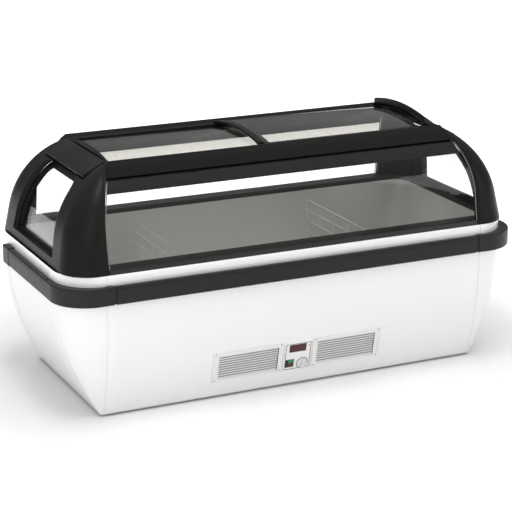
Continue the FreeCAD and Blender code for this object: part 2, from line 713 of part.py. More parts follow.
def end_caps():
    """Sloping hip that closes each end of the roof. The right one has an arched ridge under the upper lid."""
    foot = TRACK_HEIGHT - TRACK_WALL
    points = [(CAP_INNER, CAP_TOP), (CAP_RIDGE, CAP_TOP), (CAP_OUTER, CAP_LOW),
              (CAP_OUTER - CAP_TURN, CAP_LOW - CAP_LIP), (CAP_RIDGE + 10, CAP_TOP - CAP_WALL),
              (CAP_RIDGE + 5, foot), (CAP_INNER, foot)]
    cap = prism_y(points, -CAP_HALF, CAP_HALF, [1.0, 6.0, 4.0, 2.0, 2.0, 1.0, 1.0])
    arc = (CAP_HALF ** 2 + CAP_RISE ** 2) / (2 * CAP_RISE)
    cap = cap.common(rod(arc, V(0, 0, CAP_TOP - arc), V(FAR, 0, CAP_TOP - arc)))
    cap = cap.cut(rail_solid()).cut(flip_y(rail_solid()))
    cap = max(cap.Solids, key=lambda s: s.Volume)
    save("left_end_cap", flip_x(cap))
    frame_top = HIGH_APEX + HIGH_FRAME_RISE
    ridge_top = frame_top - frame_thickness(frame_top, RAIL_LIP + RAIL_FLAT - HIGH_EDGE_ROOM) - RIDGE_ROOM
    x0 = CAP_INNER - CLOSING_RIDGE
    ridge = box(x0, CAP_INNER + 3, -RAIL_LIP + 1, RAIL_LIP - 1, TRACK_HEIGHT + 1, ridge_top)
    centre = ridge_top - LID_ARC
    ridge = ridge.common(rod(LID_ARC, V(x0, 0, centre), V(CAP_RIDGE, 0, centre)))
    save("right_end_cap", cap.fuse(ridge).removeSplitter())


# ---------------------------------------------------------------- lids

def frame_thickness(apex, half):
    """Thickness of an upper lid's arch whose underside runs just over the rails' flats."""
    centre = apex - LID_ARC
    return LID_ARC - math.hypot(half, RAIL_TOP + RUN_GAP - centre)


def arch_slab(apex, thick, half, x0, x1):
    """Slice of a wide arch across Y: its top passes through the apex."""
    centre = apex - LID_ARC
    start, end = V(x0, 0, centre), V(x1, 0, centre)
    ring = rod(LID_ARC, start, end).cut(rod(LID_ARC - thick, start, end))
    return ring.common(box(x0, x1, -half, half, apex - 80, apex + 1))


def runner(apex, y0, y1, z0, x0, x1):
    """Bar under a lid's edge, its top cut to the glass."""
    under = apex - LID_GLASS
    centre = apex - LID_ARC
    bar = box(x0, x1, y0, y1, z0, under)
    return bar.common(rod(LID_ARC - LID_GLASS, V(x0, 0, centre), V(x1, 0, centre)))


def left_lid():
    half = RAIL_LIP - 2.0
    x0 = LOW_OUTER + LOW_FRAME
    x1 = LOW_INNER - LOW_FRAME
    save("left_lid_glass", arch_slab(LOW_APEX, LID_GLASS, half, x0, x1))
    save("left_lid_handle", arch_slab(LOW_APEX + LOW_HANDLE_RISE, 16.0, half, LOW_OUTER, x0))
    save("left_lid_seal", arch_slab(LOW_APEX + LOW_SEAL_RISE, 14.0, half, x1, LOW_INNER))
    inner = RAIL_LIP - TRACK_WIDTH + 2
    bar = runner(LOW_APEX, -half, -inner, TRACK_HEIGHT + RUN_GAP, x0, x1)
    save("left_lid_runners", bar, flip_y(bar))


def right_lid():
    half = RAIL_LIP + RAIL_FLAT - HIGH_EDGE_ROOM
    x0 = HIGH_INNER + HIGH_ARCH
    x1 = HIGH_OUTER - HIGH_FRAME
    save("right_lid_glass", arch_slab(HIGH_APEX, LID_GLASS, half, x0, x1))
    frame_top = HIGH_APEX + HIGH_FRAME_RISE
    frame = arch_slab(frame_top, frame_thickness(frame_top, half), half, x1, HIGH_OUTER)
    slope = [(x1 + HANDLE_WIDTH, frame_top + 1), (HIGH_OUTER + 1, frame_top + 1),
             (HIGH_OUTER + 1, frame_top - HIGH_FRAME_FALL)]
    frame = frame.cut(prism_y(slope, -FAR, FAR))
    lip = arch_slab(HANDLE_TOP, HANDLE_TOP - HIGH_APEX, half - 10, x1, x1 + HANDLE_WIDTH)
    save("right_lid_handle", frame.fuse(lip).removeSplitter())
    seal_top = HIGH_APEX + HIGH_SEAL_RISE
    save("right_lid_seal", arch_slab(seal_top, frame_thickness(seal_top, half), half, HIGH_INNER, x0))
    bar = runner(HIGH_APEX, -half, -RAIL_LIP - 1, RAIL_TOP + RUN_GAP, x0, x1)
    save("right_lid_runners", bar, flip_y(bar))


# ---------------------------------------------------------------- front control group

def grilles():
    plate = box(GRILLE_INNER, GRILLE_OUTER, 0, PLATE_WALL, 0, PLATE_HEIGHT)
    corners = [e for e in plate.Edges if e.BoundBox.YLength > PLATE_WALL - 0.1 and e.BoundBox.XLength < 0.1
               and e.BoundBox.ZLength < 0.1]
    plate = plate.makeFillet(4.0, corners)
    for i in range(LOUVRE_COUNT):
        low = LOUVRE_LOW + i * LOUVRE_PITCH
        plate = plate.cut(box(LOUVRE_INNER, LOUVRE_OUTER, -1, PLATE_WALL + 1, low, low + LOUVRE_SLOT))
    save("right_grille", on_front(plate))
    save("left_grille", flip_x(on_front(plate)))
    heads = []
    for x in (GRILLE_INNER + 11, GRILLE_OUTER - 9):
        for v in (5.0, PLATE_HEIGHT - 5.0):
            head = on_front(rod(SCREW_RADIUS - 1, V(x, 0, v), V(x, -SCREW_HEAD, v)))
            heads.extend([head, flip_x(head)])
    return heads


def knob_hole():
    return rod(SHAFT_RADIUS + 1, V(KNOB_X, -10, KNOB_V), V(KNOB_X, 60, KNOB_V))


def rocker_box(v, grow, y0, y1):
    half_x = ROCKER_LENGTH / 2 + grow
    half_v = ROCKER_WIDTH / 2 + grow
    return box(ROCKER_X - half_x, ROCKER_X + half_x, y0, y1, v - half_v, v + half_v)


def rocker_pin(v, grow):
    """Pivot pin across a rocker, standing out of both its sides."""
    reach = ROCKER_WIDTH / 2 + PIN_OUT + grow
    return rod(PIN_RADIUS + grow, V(ROCKER_X, PIVOT, v - reach), V(ROCKER_X, PIVOT, v + reach))


def control_panel():
    plate = box(-PANEL_HALF, PANEL_HALF, 0, PLATE_WALL, 0, PANEL_HEIGHT)
    window = box(DISPLAY_X[0], DISPLAY_X[1], -1, PLATE_WALL + 1, DISPLAY_V[0], DISPLAY_V[1])
    plate = plate.cut(window).cut(knob_hole())
    for v in (GREEN_V, RED_V):
        plate = plate.cut(rocker_box(v, BEZEL + 0.2, -5, 10))
    save("control_panel", on_front(plate))
    x0, x1 = DISPLAY_X[0] + DISPLAY_FIT, DISPLAY_X[1] - DISPLAY_FIT
    pane = box(x0, x1, -DISPLAY_PROUD, PLATE_WALL, DISPLAY_V[0] + DISPLAY_FIT, DISPLAY_V[1] - DISPLAY_FIT)
    save("display_window", on_front(pane))
    back = PLATE_WALL + HOUSING_GAP
    half_x = PANEL_HALF - HOUSING_IN_X
    housing = box(-half_x, half_x, back, back + HOUSING_DEPTH, HOUSING_IN_V, PANEL_HEIGHT - HOUSING_IN_V)
    for v in (GREEN_V, RED_V):
        housing = housing.fuse(rocker_box(v, BEZEL, -BEZEL_PROUD, back + 1))
    for v in (GREEN_V, RED_V):
        well = rocker_box(v, CLEAR, -BEZEL_PROUD - 4, back + ROCKER_WELL)
        housing = housing.cut(well).cut(rocker_pin(v, PIN_FIT))
    bore = rod(SHAFT_RADIUS + SHAFT_FIT, V(KNOB_X, 0, KNOB_V), V(KNOB_X, back + SHAFT_BORE, KNOB_V))
    save("switch_housing", on_front(housing.cut(bore)))


def knob():
    """Round knob with a raised pointer bar, on a shaft that turns in the housing."""
    face = -KNOB_CLEAR
    seat = V(KNOB_X, face, KNOB_V)
    body = Part.makeCone(KNOB_RADIUS, KNOB_RADIUS - KNOB_TAPER, KNOB_SKIRT, seat, V(0, -1, 0))
    grip = box(KNOB_X - GRIP_HALF, KNOB_X + GRIP_HALF, face - KNOB_HEIGHT, face,
               KNOB_V - KNOB_RADIUS + GRIP_IN, KNOB_V + KNOB_RADIUS - GRIP_IN)
    shaft = rod(SHAFT_RADIUS, seat, V(KNOB_X, PLATE_WALL + SHAFT_END, KNOB_V))
    save("thermostat_knob", on_front(body.fuse([grip, shaft]).removeSplitter()))


def rocker(name, v):
    """Rocker cap: two faces that meet in a shallow valley, tilted to the side that is pressed."""
    half_x = ROCKER_LENGTH / 2 - 0.5
    half_v = ROCKER_WIDTH / 2
    points = [V(-half_x, ROCKER_DEEP, 0), V(-half_x, -ROCKER_HIGH, 0), V(0, -ROCKER_VALLEY, 0),
              V(half_x, -ROCKER_HIGH, 0), V(half_x, ROCKER_DEEP, 0)]
    cap = Part.Face(Part.makePolygon(points + points[:1])).extrude(V(0, 0, 2 * half_v))
    cap.translate(V(ROCKER_X, 0, v - half_v))
    cap.rotate(V(ROCKER_X, PIVOT, v), V(0, 0, 1), ROCKER_TILT)
    cap = cap.common(rocker_box(v, 0, -8, 8))
    save(name, on_front(cap.fuse(rocker_pin(v, 0)).removeSplitter()))


# ---------------------------------------------------------------- machine bay

def machines():
    compressor()
    condenser()
    fan()


def compressor():
    """Hermetic can on a foot plate, with one pipe stub, on four rubber blocks."""
    x, y = COMPRESSOR_X, COMPRESSOR_Y
    foot = BASE_WALL + MOUNT_HEIGHT
    plate = box(x - FOOT_HALF_X, x + FOOT_HALF_X, y - FOOT_HALF_Y, y + FOOT_HALF_Y, foot, foot + FOOT_PLATE)
    can_foot = foot + FOOT_PLATE
    can = rod(COMPRESSOR_RADIUS, V(x, y, can_foot), V(x, y, can_foot + COMPRESSOR_HEIGHT))
    rims = [e for e in can.Edges if abs(e.BoundBox.ZLength) < 0.1 and e.BoundBox.ZMin > foot + 10]
    can = can.makeFillet(CAN_FILLET, rims)
    pipe_z = foot + STUB_HEIGHT
    stub = rod(STUB_RADIUS, V(x + COMPRESSOR_RADIUS / 2, y, pipe_z), V(x + STUB_REACH, y, pipe_z))
    save("compressor", can.fuse([plate, stub]).removeSplitter())
    rubbers = []
    for dx in (-FOOT_HALF_X + MOUNT_IN, FOOT_HALF_X - MOUNT_IN):
        for dy in (-FOOT_HALF_Y + MOUNT_IN, FOOT_HALF_Y - MOUNT_IN):
            rubbers.append(rod(MOUNT_RADIUS, V(x + dx, y + dy, BASE_WALL), V(x + dx, y + dy, foot)))
    save("compressor_mounts", *rubbers)


def condenser():
    """Block of flat fins on upright tubes, between two side plates."""
    x0, x1 = CONDENSER_X - CONDENSER_HALF, CONDENSER_X + CONDENSER_HALF
    y0, y1 = CONDENSER_FRONT, CONDENSER_FRONT + CONDENSER_DEPTH
    low, high = BASE_WALL, BASE_WALL + CONDENSER_HEIGHT
    bars = [box(x0, x0 + SIDE_PLATE, y0, y1, low, high), box(x1 - SIDE_PLATE, x1, y0, y1, low, high)]
    first = low + FIN_START
    fins = int((high - low - 2 * FIN_START) / FIN_PITCH)
    for i in range(fins + 1):
        z = first + i * FIN_PITCH
        bars.append(box(x0, x1, y0, y1, z, z + FIN))
    for i in range(TUBE_ROWS):
        ty = y0 + CONDENSER_DEPTH * (i + 0.5) / TUBE_ROWS
        for tx in (x0 + TUBE_IN, (x0 + x1) / 2, x1 - TUBE_IN):
            bars.append(rod(TUBE_RADIUS, V(tx, ty, first), V(tx, ty, first + fins * FIN_PITCH)))
    save("condenser", bars[0].fuse(bars[1:]))


def fan():
    """Sheet shroud with the motor on a strap across it, and the fan on the motor's shaft."""
    x, z = CONDENSER_X, BASE_WALL + CONDENSER_HEIGHT / 2
    x0, x1 = x - CONDENSER_HALF, x + CONDENSER_HALF
    low, high = BASE_WALL, BASE_WALL + CONDENSER_HEIGHT
    front = CONDENSER_FRONT + CONDENSER_DEPTH + SHROUD_GAP
    rear = front + SHROUD_DEPTH
    shroud = box(x0, x1, front, rear, low, high)
    hollow = box(x0 + SIDE_PLATE, x1 - SIDE_PLATE, front, rear - SIDE_PLATE, low - 1, high - SIDE_PLATE)
    shroud = shroud.cut(hollow).cut(rod(FAN_RADIUS + FAN_ROOM, V(x, front, z), V(x, rear + 1, z)))
    reach = FAN_RADIUS + STRAP_REACH
    strap = box(x - reach, x + reach, rear, rear + STRAP_WALL, z - STRAP_HALF, z + STRAP_HALF)
    motor = rod(MOTOR_RADIUS, V(x, rear, z), V(x, rear + MOTOR_LENGTH, z))
    shaft = rod(FAN_SHAFT, V(x, front + SHAFT_IN, z), V(x, rear + STRAP_WALL, z))
    save("fan_shroud", shroud.fuse([strap, motor, shaft]).removeSplitter())

    hub_y = front + HUB_IN
    hub = rod(FAN_HUB, V(x, hub_y, z), V(x, hub_y + FAN_DEPTH, z))
    blades = []
    for i in range(FAN_BLADES):
        blade = box(FAN_HUB - 4, FAN_RADIUS, -1, 1, -BLADE_HALF, BLADE_HALF)
        blade.rotate(V(0, 0, 0), V(1, 0, 0), BLADE_PITCH)
        blade = blade.common(rod(FAN_RADIUS, V(0, -20, 0), V(0, 20, 0)))
        blade.rotate(V(0, 0, 0), V(0, 1, 0), i * 360 / FAN_BLADES)
        blade.translate(V(x, hub_y + FAN_DEPTH / 2, z))
        blades.append(blade)
    bore = rod(FAN_SHAFT + FAN_FIT, V(x, hub_y + SHAFT_IN - HUB_IN - 1, z), V(x, hub_y + 2 * FAN_DEPTH, z))
    save("fan_blades", hub.fuse(blades).removeSplitter().cut(bore))


cabinet_panels()
base_and_feet()
liner_and_foam()
grids()
bumper()
corner_post = posts()
hood_sill(corner_post)
hood_glazing()
window_screws = end_windows()
end_caps()
left_lid()
right_lid()
grille_screws = grilles()
save("cover_screws", *(window_screws + grille_screws))
control_panel()
knob()
rocker("green_rocker", GREEN_V)
rocker("red_rocker", RED_V)
machines()
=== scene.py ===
"""Looks of an island freezer with a curved glass hood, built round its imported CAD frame."""
import math

import bmesh
import bpy
import numpy as np
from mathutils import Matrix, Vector


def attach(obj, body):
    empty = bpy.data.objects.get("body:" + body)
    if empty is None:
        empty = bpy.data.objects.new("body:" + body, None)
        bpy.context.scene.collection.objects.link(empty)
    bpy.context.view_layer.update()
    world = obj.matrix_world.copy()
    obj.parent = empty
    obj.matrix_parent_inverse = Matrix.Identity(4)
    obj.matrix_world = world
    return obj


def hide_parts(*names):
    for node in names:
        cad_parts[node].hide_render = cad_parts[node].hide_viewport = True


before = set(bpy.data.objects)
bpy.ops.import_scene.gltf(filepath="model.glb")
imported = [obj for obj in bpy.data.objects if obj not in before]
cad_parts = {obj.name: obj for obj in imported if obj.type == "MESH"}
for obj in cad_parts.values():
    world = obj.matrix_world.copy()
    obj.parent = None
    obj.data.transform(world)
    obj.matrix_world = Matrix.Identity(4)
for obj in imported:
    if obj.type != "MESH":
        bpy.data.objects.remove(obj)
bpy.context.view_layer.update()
scene = bpy.context.scene

# ---------------------------------------------------------------- studio
# A pale sweep of floor under broad soft lamps: a white ceiling and a fill from the left, a high lamp that
# draws a line down the left post, one at each side in front, and a weak one behind. The three widest are
# not mirrored in gloss, so that no patch of light lies in the lids.
TARGET = Vector((0.023, 0.0495, 0.3933))
AZIMUTH = math.radians(-25.336)
ELEVATION = math.radians(17.0)
DISTANCE = 6.981
LENS = 127.59

camera = bpy.data.objects.new("camera", bpy.data.cameras.new("camera"))
scene.collection.objects.link(camera)
back = Vector((math.sin(AZIMUTH) * math.cos(ELEVATION), -math.cos(AZIMUTH) * math.cos(ELEVATION),
               math.sin(ELEVATION)))
camera.location = TARGET + back * DISTANCE
camera.rotation_euler = (-back).to_track_quat("-Z", "Y").to_euler()
camera.data.lens = LENS
camera.data.sensor_width = 36.0
camera.data.clip_end = 100.0
scene.camera = camera
scene.view_settings.view_transform = "Standard"


class Value:
    """A node's output in Python arithmetic: each of + - * / ** adds a Math node to the same finish."""

    def __init__(self, finish, socket):
        self.finish, self.socket = finish, socket

    def maths(self, operation, *values):
        return self.finish.node("ShaderNodeMath", {"operation": operation}, dict(enumerate(values)))

    def __add__(self, other):
        return self.maths("ADD", self, other)

    def __sub__(self, other):
        return self.maths("SUBTRACT", self, other)

    def __rsub__(self, other):
        return self.maths("SUBTRACT", other, self)

    def __mul__(self, other):
        return self.maths("MULTIPLY", self, other)

    def __truediv__(self, other):
        return self.maths("DIVIDE", self, other)

    def __pow__(self, other):
        return self.maths("POWER", self, other)

    __radd__, __rmul__ = __add__, __mul__

    def over(self, limit):
        return self.maths("GREATER_THAN", self, limit)


class Finish:
    """One material: a Principled shader with plain values on its sockets, and nodes for what varies."""

    def __init__(self, name, colour, roughness, tree=None, **plain):
        if tree is None:
            self.material = bpy.data.materials.new(name)
            self.material.use_nodes = True
            tree = self.material.node_tree
        self.tree = tree
        self.shader = tree.nodes.get("Principled BSDF")
        self.cached = {}
        if self.shader:
            self.set("Base Color", (*colour, 1.0))
            self.set("Roughness", roughness)
            for socket, value in plain.items():
                self.set(socket.replace("_", " "), value)
            self.material.diffuse_color = (*colour, 1.0)

    def node(self, kind, settings=None, inputs=None, output=0):
        """Adds a node: its settings first, then its sockets' values or links. Gives back one output."""
        made = self.tree.nodes.new(kind)
        for name, value in (settings or {}).items():
            setattr(made, name, value)
        for name, value in (inputs or {}).items():
            self.feed(made.inputs[name], value)
        return Value(self, made.outputs[output])

    def feed(self, socket, value):
        if isinstance(value, Value):
            self.tree.links.new(value.socket, socket)
        else:
            socket.default_value = value

    def set(self, socket, value):
        self.feed(self.shader.inputs[socket], value)
        return self

    @property
    def place(self):
        if "place" not in self.cached:
            self.cached["place"] = self.node("ShaderNodeTexCoord", output="Object")
        return self.cached["place"]

    def axis(self, name):
        return self.node("ShaderNodeSeparateXYZ", inputs={0: self.place}, output=name)

    def noise(self, scale, detail=3.0, stretch=None):
        """Soft noise from 0 to 1, scale cells to the metre, drawn out along an axis by stretch."""
        where = self.place
        if stretch:
            where = self.node("ShaderNodeMapping", inputs={"Vector": where, "Scale": stretch})
        return self.node("ShaderNodeTexNoise", inputs={"Vector": where, "Scale": scale, "Detail": detail})

    def tint(self, factor, low, high):
        """Base Color blended from low to high by factor."""
        ends = {0: factor, 6: (*low, 1.0), 7: (*high, 1.0)}
        return self.set("Base Color", self.node("ShaderNodeMix", {"data_type": "RGBA"}, ends, output=2))

    def mottle(self, low, high, *cells, **stretch):
        """Base Color that drifts from low to high with noise of the given cells."""
        return self.tint(self.noise(*cells, **stretch), low, high)

    def grain(self, spread, least, *cells, **stretch):
        """Roughness of least plus spread times noise of the given cells."""
        return self.set("Roughness", self.noise(*cells, **stretch) * spread + least)

    def bump(self, height, strength, distance):
        inputs = {"Strength": strength, "Distance": distance, "Height": height}
        return self.set("Normal", self.node("ShaderNodeBump", inputs=inputs))


def area_lamp(name, place, aim, width, height, watts, mirrored_in_gloss=True):
    lamp = bpy.data.objects.new(name, bpy.data.lights.new(name, "AREA"))
    scene.collection.objects.link(lamp)
    lamp.data.shape, lamp.data.size, lamp.data.size_y = "RECTANGLE", width, height
    lamp.data.energy = watts
    lamp.visible_glossy = mirrored_in_gloss
    lamp.location = place
    lamp.rotation_euler = (Vector(aim) - Vector(place)).to_track_quat("-Z", "Y").to_euler()


area_lamp("ceiling", (0.6, -0.8, 4.2), (0, 0, 0.3), 4.2, 3.2, 84, False)
area_lamp("left_fill", (-4.4, -2.4, 1.3), (-0.6, 0, 0.3), 3.0, 2.0, 42, False)
area_lamp("post_line", (-0.97, -0.75, 3.95), (-0.73, -0.28, 0.83), 0.8, 1.6, 34)
area_lamp("left_front", (-2.6, -3.4, 2.6), (-0.4, 0, 0.7), 0.9, 2.4, 16)
area_lamp("right_front", (3.4, -3.6, 2.0), (0.4, 0, 0.5), 1.6, 2.4, 25)
area_lamp("behind", (0.5, 3.6, 2.6), (0, 0, 0.6), 3.0, 1.6, 24, False)

SKY_LOW, SKY_HIGH = 0.15, 0.72
scene.world = bpy.data.worlds.new("studio")
scene.world.use_nodes = True
sky = Finish("sky", (1, 1, 1), 1, tree=scene.world.node_tree)
heading = sky.node("ShaderNodeTexCoord", output="Generated")
height = sky.node("ShaderNodeSeparateXYZ", inputs={0: heading}, output="Z")
seen = sky.node("ShaderNodeLightPath", output="Is Camera Ray")
level = height.maths("MAXIMUM", height, 0.0) * (SKY_HIGH - SKY_LOW) + SKY_LOW
sky.feed(sky.tree.nodes["Background"].inputs["Strength"], seen + (1 - seen) * level)
sky.feed(sky.tree.nodes["Background"].inputs["Color"], (1.0, 1.0, 1.0, 1.0))

FLOOR_HALF = 14.0
floor_mesh = bpy.data.meshes.new("floor")
floor_mesh.from_pydata([(-FLOOR_HALF, -FLOOR_HALF, 0), (FLOOR_HALF, -FLOOR_HALF, 0),
                        (FLOOR_HALF, FLOOR_HALF, 0), (-FLOOR_HALF, FLOOR_HALF, 0)], [], [(0, 1, 2, 3)])
floor = bpy.data.objects.new("floor", floor_mesh)
scene.collection.objects.link(floor)
floor_white = Finish("floor_white", (0.82, 0.82, 0.82), 0.9)
floor_white.mottle((0.815, 0.815, 0.815), (0.825, 0.825, 0.825), 1.5)
away = floor_white.node("ShaderNodeVectorMath", {"operation": "LENGTH"}, {0: floor_white.place}, output="Value")
GLOW_NEAR, GLOW_FAR = (1.1, 0.03), (2.6, 0.9)    # metres from the middle, and the floor's own light there
glow = floor_white.node("ShaderNodeMapRange", inputs={0: away, 1: GLOW_NEAR[0], 2: GLOW_FAR[0],
                                                      3: GLOW_NEAR[1], 4: GLOW_FAR[1]})
glow = floor_white.node("ShaderNodeCombineColor", inputs={0: glow, 1: glow, 2: glow})
floor_white.set("Emission Color", glow)
floor_white.set("Emission Strength", 1.0)
floor_mesh.materials.append(floor_white.material)

# ---------------------------------------------------------------- cabinet skin
# Pressed sheet steel, stove enamelled white. The front and rear are one sheet each, the ends are
# flatter sheets, and four corner pieces are folded in between them with a fine seam at each side.
CABINET_X, CABINET_Y, CABINET_Z = 899.0, 403.5, 535.0    # half length, half depth and height
CORNER_X = 753.0                 # where the front sheet ends and the corner's arc begins
END_SEAM_Y = 257.0
END_TUCK, END_TUCK_Z = 134.0, 445.0
FRONT_TUCK, FRONT_TUCK_Z = 65.0, 400.0
SHEET = 1.2
SEAM = 1.0
RIM_FOLD, HEM = 12.0, 6.0        # the sheets turn in this far over the foam, and at their other edges
SHEET_Z = np.linspace(0, CABINET_Z, 62)
SHEET_X = np.linspace(-CORNER_X + SEAM / 2, CORNER_X - SEAM / 2, 41)
PLATE_LOW, GRILLE_HIGH, PANEL_HIGH = 60.0, 178.5, 171.0  # the front sheet is open between these
GRILLE_X, PANEL_X = (60.0, 342.0), 56.0
PLATE_ROOM = 1.0
SHIFT_Y, SHIFT_Z = 13.0, 8.0     # from the cabinet's middle and lower edge to the frame's origin
SIDES = ((False, "right"), (True, "left"))
ENDS = ((False, "front"), (True, "rear"))


def to_metres(points):
    """Cabinet millimetres, z from the cabinet's bottom edge, to the frame's metres."""
    return (np.asarray(points, float).reshape(-1, 3) + (0.0, SHIFT_Y, SHIFT_Z)) / 1000.0


def grid_faces(rows, columns, ring=False):
    """Quads between the neighbours on a grid, its last column joined to the first for a ring."""
    index = np.arange(rows * columns).reshape(rows, columns)
    if ring:
        index = np.column_stack([index, index[:, :1]])
    return np.stack([index[:-1, :-1], index[:-1, 1:], index[1:, 1:], index[1:, :-1]], -1).reshape(-1, 4)


def tube(rings):
    """Closed solid from rings (stations, points, 3): quads between the stations and a face over each end."""
    rings = np.asarray(rings, float)
    stations, count = rings.shape[:2]
    faces = grid_faces(stations, count, True).tolist()
    faces += [list(range(count))[::-1], list(range((stations - 1) * count, stations * count))]
    return rings.reshape(-1, 3), faces


def hoop(rings):
    """The same joined end to end: the last station runs on to the first."""
    rings = np.asarray(rings, float)
    stations, count = rings.shape[:2]
    return rings.reshape(-1, 3), grid_faces(stations + 1, count, True).tolist(), stations * count


def piece(name, body, finish, replaced=(), parts=(), sharp=40.0):
    """One object from (points, faces) parts in cabinet millimetres, smooth but for its sharp edges."""
    points, faces, start = [], [], 0
    for part in parts:
        placed = to_metres(part[0])
        wrap = part[2] if len(part) > 2 else None
        faces += [[start + (i if wrap is None else i % wrap) for i in face] for face in part[1]]
        points.append(placed)
        start += len(placed)
    mesh = bpy.data.meshes.new(name)
    mesh.from_pydata(np.concatenate(points), [], faces)
    work = bmesh.new()
    work.from_mesh(mesh)
    bmesh.ops.remove_doubles(work, verts=work.verts, dist=1e-6)
    bmesh.ops.recalc_face_normals(work, faces=work.faces)
    work.to_mesh(mesh)
    work.free()
    mesh.polygons.foreach_set("use_smooth", np.ones(len(mesh.polygons), bool))
    mesh.set_sharp_from_angle(angle=math.radians(sharp))
    mesh.materials.append(finish.material)
    made = bpy.data.objects.new(name, mesh)
    scene.collection.objects.link(made)
    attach(made, body)
    if replaced:
        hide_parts(*replaced)
    return made


def paint(finish, *nodes):
    """Gives CAD nodes that keep their own mesh a finish."""
    for node in nodes:
        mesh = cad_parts[node].data
        mesh.materials.clear()
        mesh.materials.append(finish.material)


def mirrored(points, flip_x, flip_y):
    return points * np.array((-1.0 if flip_x else 1.0, -1.0 if flip_y else 1.0, 1.0))


def cabinet_half(z, depth=0.0):
    """Half length and half depth at z: upright above, below a tuck times the square of the drop less."""
    end = np.clip(1 - z / END_TUCK_Z, 0, None)
    front = np.clip(1 - z / FRONT_TUCK_Z, 0, None)
    return CABINET_X - END_TUCK * end ** 2 - depth, CABINET_Y - FRONT_TUCK * front ** 2 - depth


def hem_rows(values, high=HEM):
    """A sheet's rows with a turned edge at each end: their values, and the depth of each from the face."""
    run = np.sign(values[-1] - values[0])
    first = values[0] + run * np.array((0, 0, 0.3, 1.0))
    last = values[-1] - run * np.array((1.0, 0.3, 0, 0))
    depth = np.concatenate([(HEM, 1.0, 0.3, 0), np.zeros(len(values) - 2), (0, 0.3, 1.0, high)])
    return np.concatenate([first, values[1:-1], last]), depth


def front_sheet(z, x):
    """Rows of z by columns of x on the front: y is minus the half depth at z."""
    xs, dx = hem_rows(x)
    zs, dz = hem_rows(z, high=RIM_FOLD)
    depth = np.maximum(dx[None, :], dz[:, None])
    y = -cabinet_half(zs)[1][:, None] + depth
    return np.stack(np.broadcast_arrays(xs[None, :], y, zs[:, None]), -1)


def thin_sheet(grid, thickness=SHEET, keep=None):
    """Closed sheet: the grid, the same pushed inwards along its own normals, and walls round its open edges."""
    rows, columns = grid.shape[:2]
    du = np.gradient(grid, axis=1)
    dv = np.gradient(grid, axis=0)
    normal = np.cross(du, dv)
    length = np.linalg.norm(normal, axis=-1, keepdims=True)
    normal = normal / np.where(length > 1e-9, length, 1.0)
    outward = np.sign(np.sum(normal * (grid - (0, 0, CABINET_Z / 2))))
    inner = grid - outward * normal * thickness
    faces = grid_faces(rows, columns)
    if keep is not None:
        middle = grid.reshape(-1, 3)[faces].mean(1)
        faces = faces[keep(middle)]
    total = rows * columns
    back_faces = faces[:, ::-1] + total
    edges = np.concatenate([faces[:, [0, 1]], faces[:, [1, 2]], faces[:, [2, 3]], faces[:, [3, 0]]])
    key = np.sort(edges, 1)
    _, first, count = np.unique(key, axis=0, return_index=True, return_counts=True)
    rim = edges[first[count == 1]]
    walls = np.column_stack([rim[:, 1], rim[:, 0], rim[:, 0] + total, rim[:, 1] + total])
    points = np.concatenate([grid.reshape(-1, 3), inner.reshape(-1, 3)])
    return points, np.concatenate([faces, back_faces, walls]).tolist()


enamel = Finish("white_enamel", (0.86, 0.86, 0.855), 0.27, Coat_Weight=0.35, Coat_Roughness=0.08)
enamel.mottle((0.855, 0.855, 0.850), (0.866, 0.866, 0.862), 1.2, 1.0)
enamel.grain(0.03, 0.27, 5.0, 1.0)
enamel.bump(enamel.noise(240.0, 1.0), 0.02, 0.0001)

z_rows = np.unique(np.concatenate([SHEET_Z, (PLATE_LOW, PANEL_HIGH, GRILLE_HIGH)]))
x_marks = np.array((GRILLE_X[0] - PLATE_ROOM, GRILLE_X[1] + PLATE_ROOM, PANEL_X + PLATE_ROOM))
x_columns = np.unique(np.concatenate([SHEET_X, x_marks, -x_marks]))


def beyond_plates(middle):
    """Leaves the front sheet open behind the grilles and the control panel."""
    across = np.abs(middle[:, 0])
    grille = (across > x_marks[0]) & (across < x_marks[1]) & (middle[:, 2] < GRILLE_HIGH)
    panel = (across < x_marks[2]) & (middle[:, 2] < PANEL_HIGH)
    return ~((grille | panel) & (middle[:, 2] > PLATE_LOW))


front_grid = front_sheet(z_rows, x_columns)
rear_grid = mirrored(front_sheet(SHEET_Z, SHEET_X), False, True)
piece("front_skin", "cabinet", enamel, ["front_panel"],
      [thin_sheet(front_grid, keep=beyond_plates)])
piece("rear_skin", "cabinet", enamel, ["rear_panel"], [thin_sheet(rear_grid)])


def corner_sheet(z):
    """The corner from the front seam to the end seam: an arc about the front sheet's end, then straight."""
    turn = np.linspace(0, math.pi / 2, 20)
    zs, dz = hem_rows(z, high=RIM_FOLD)
    half_x, half_y = cabinet_half(zs)
    radius = half_x - CORNER_X
    angle = np.concatenate([[0.0] * 4, turn, np.full(10, math.pi / 2)])
    slide = np.concatenate([np.zeros(24), np.linspace(0.15, 1, 7), [1.0] * 3])
    depth = np.concatenate([(6, 1, 0.3, 0), turn * 0, np.zeros(7), (0.3, 1, 6)])
    depth = np.maximum(depth[None, :], dz[:, None])
    swing = radius[:, None] - depth
    x = CORNER_X + swing * np.sin(angle) + SEAM / 2 * (angle == 0)[None, :]
    corner_y = -(half_y - radius)[:, None] - swing * np.cos(angle)[None, :]
    y = corner_y * (1 - slide) + (-END_SEAM_Y - SEAM / 2) * slide
    return np.stack([x, y, np.broadcast_to(zs[:, None], x.shape)], -1)


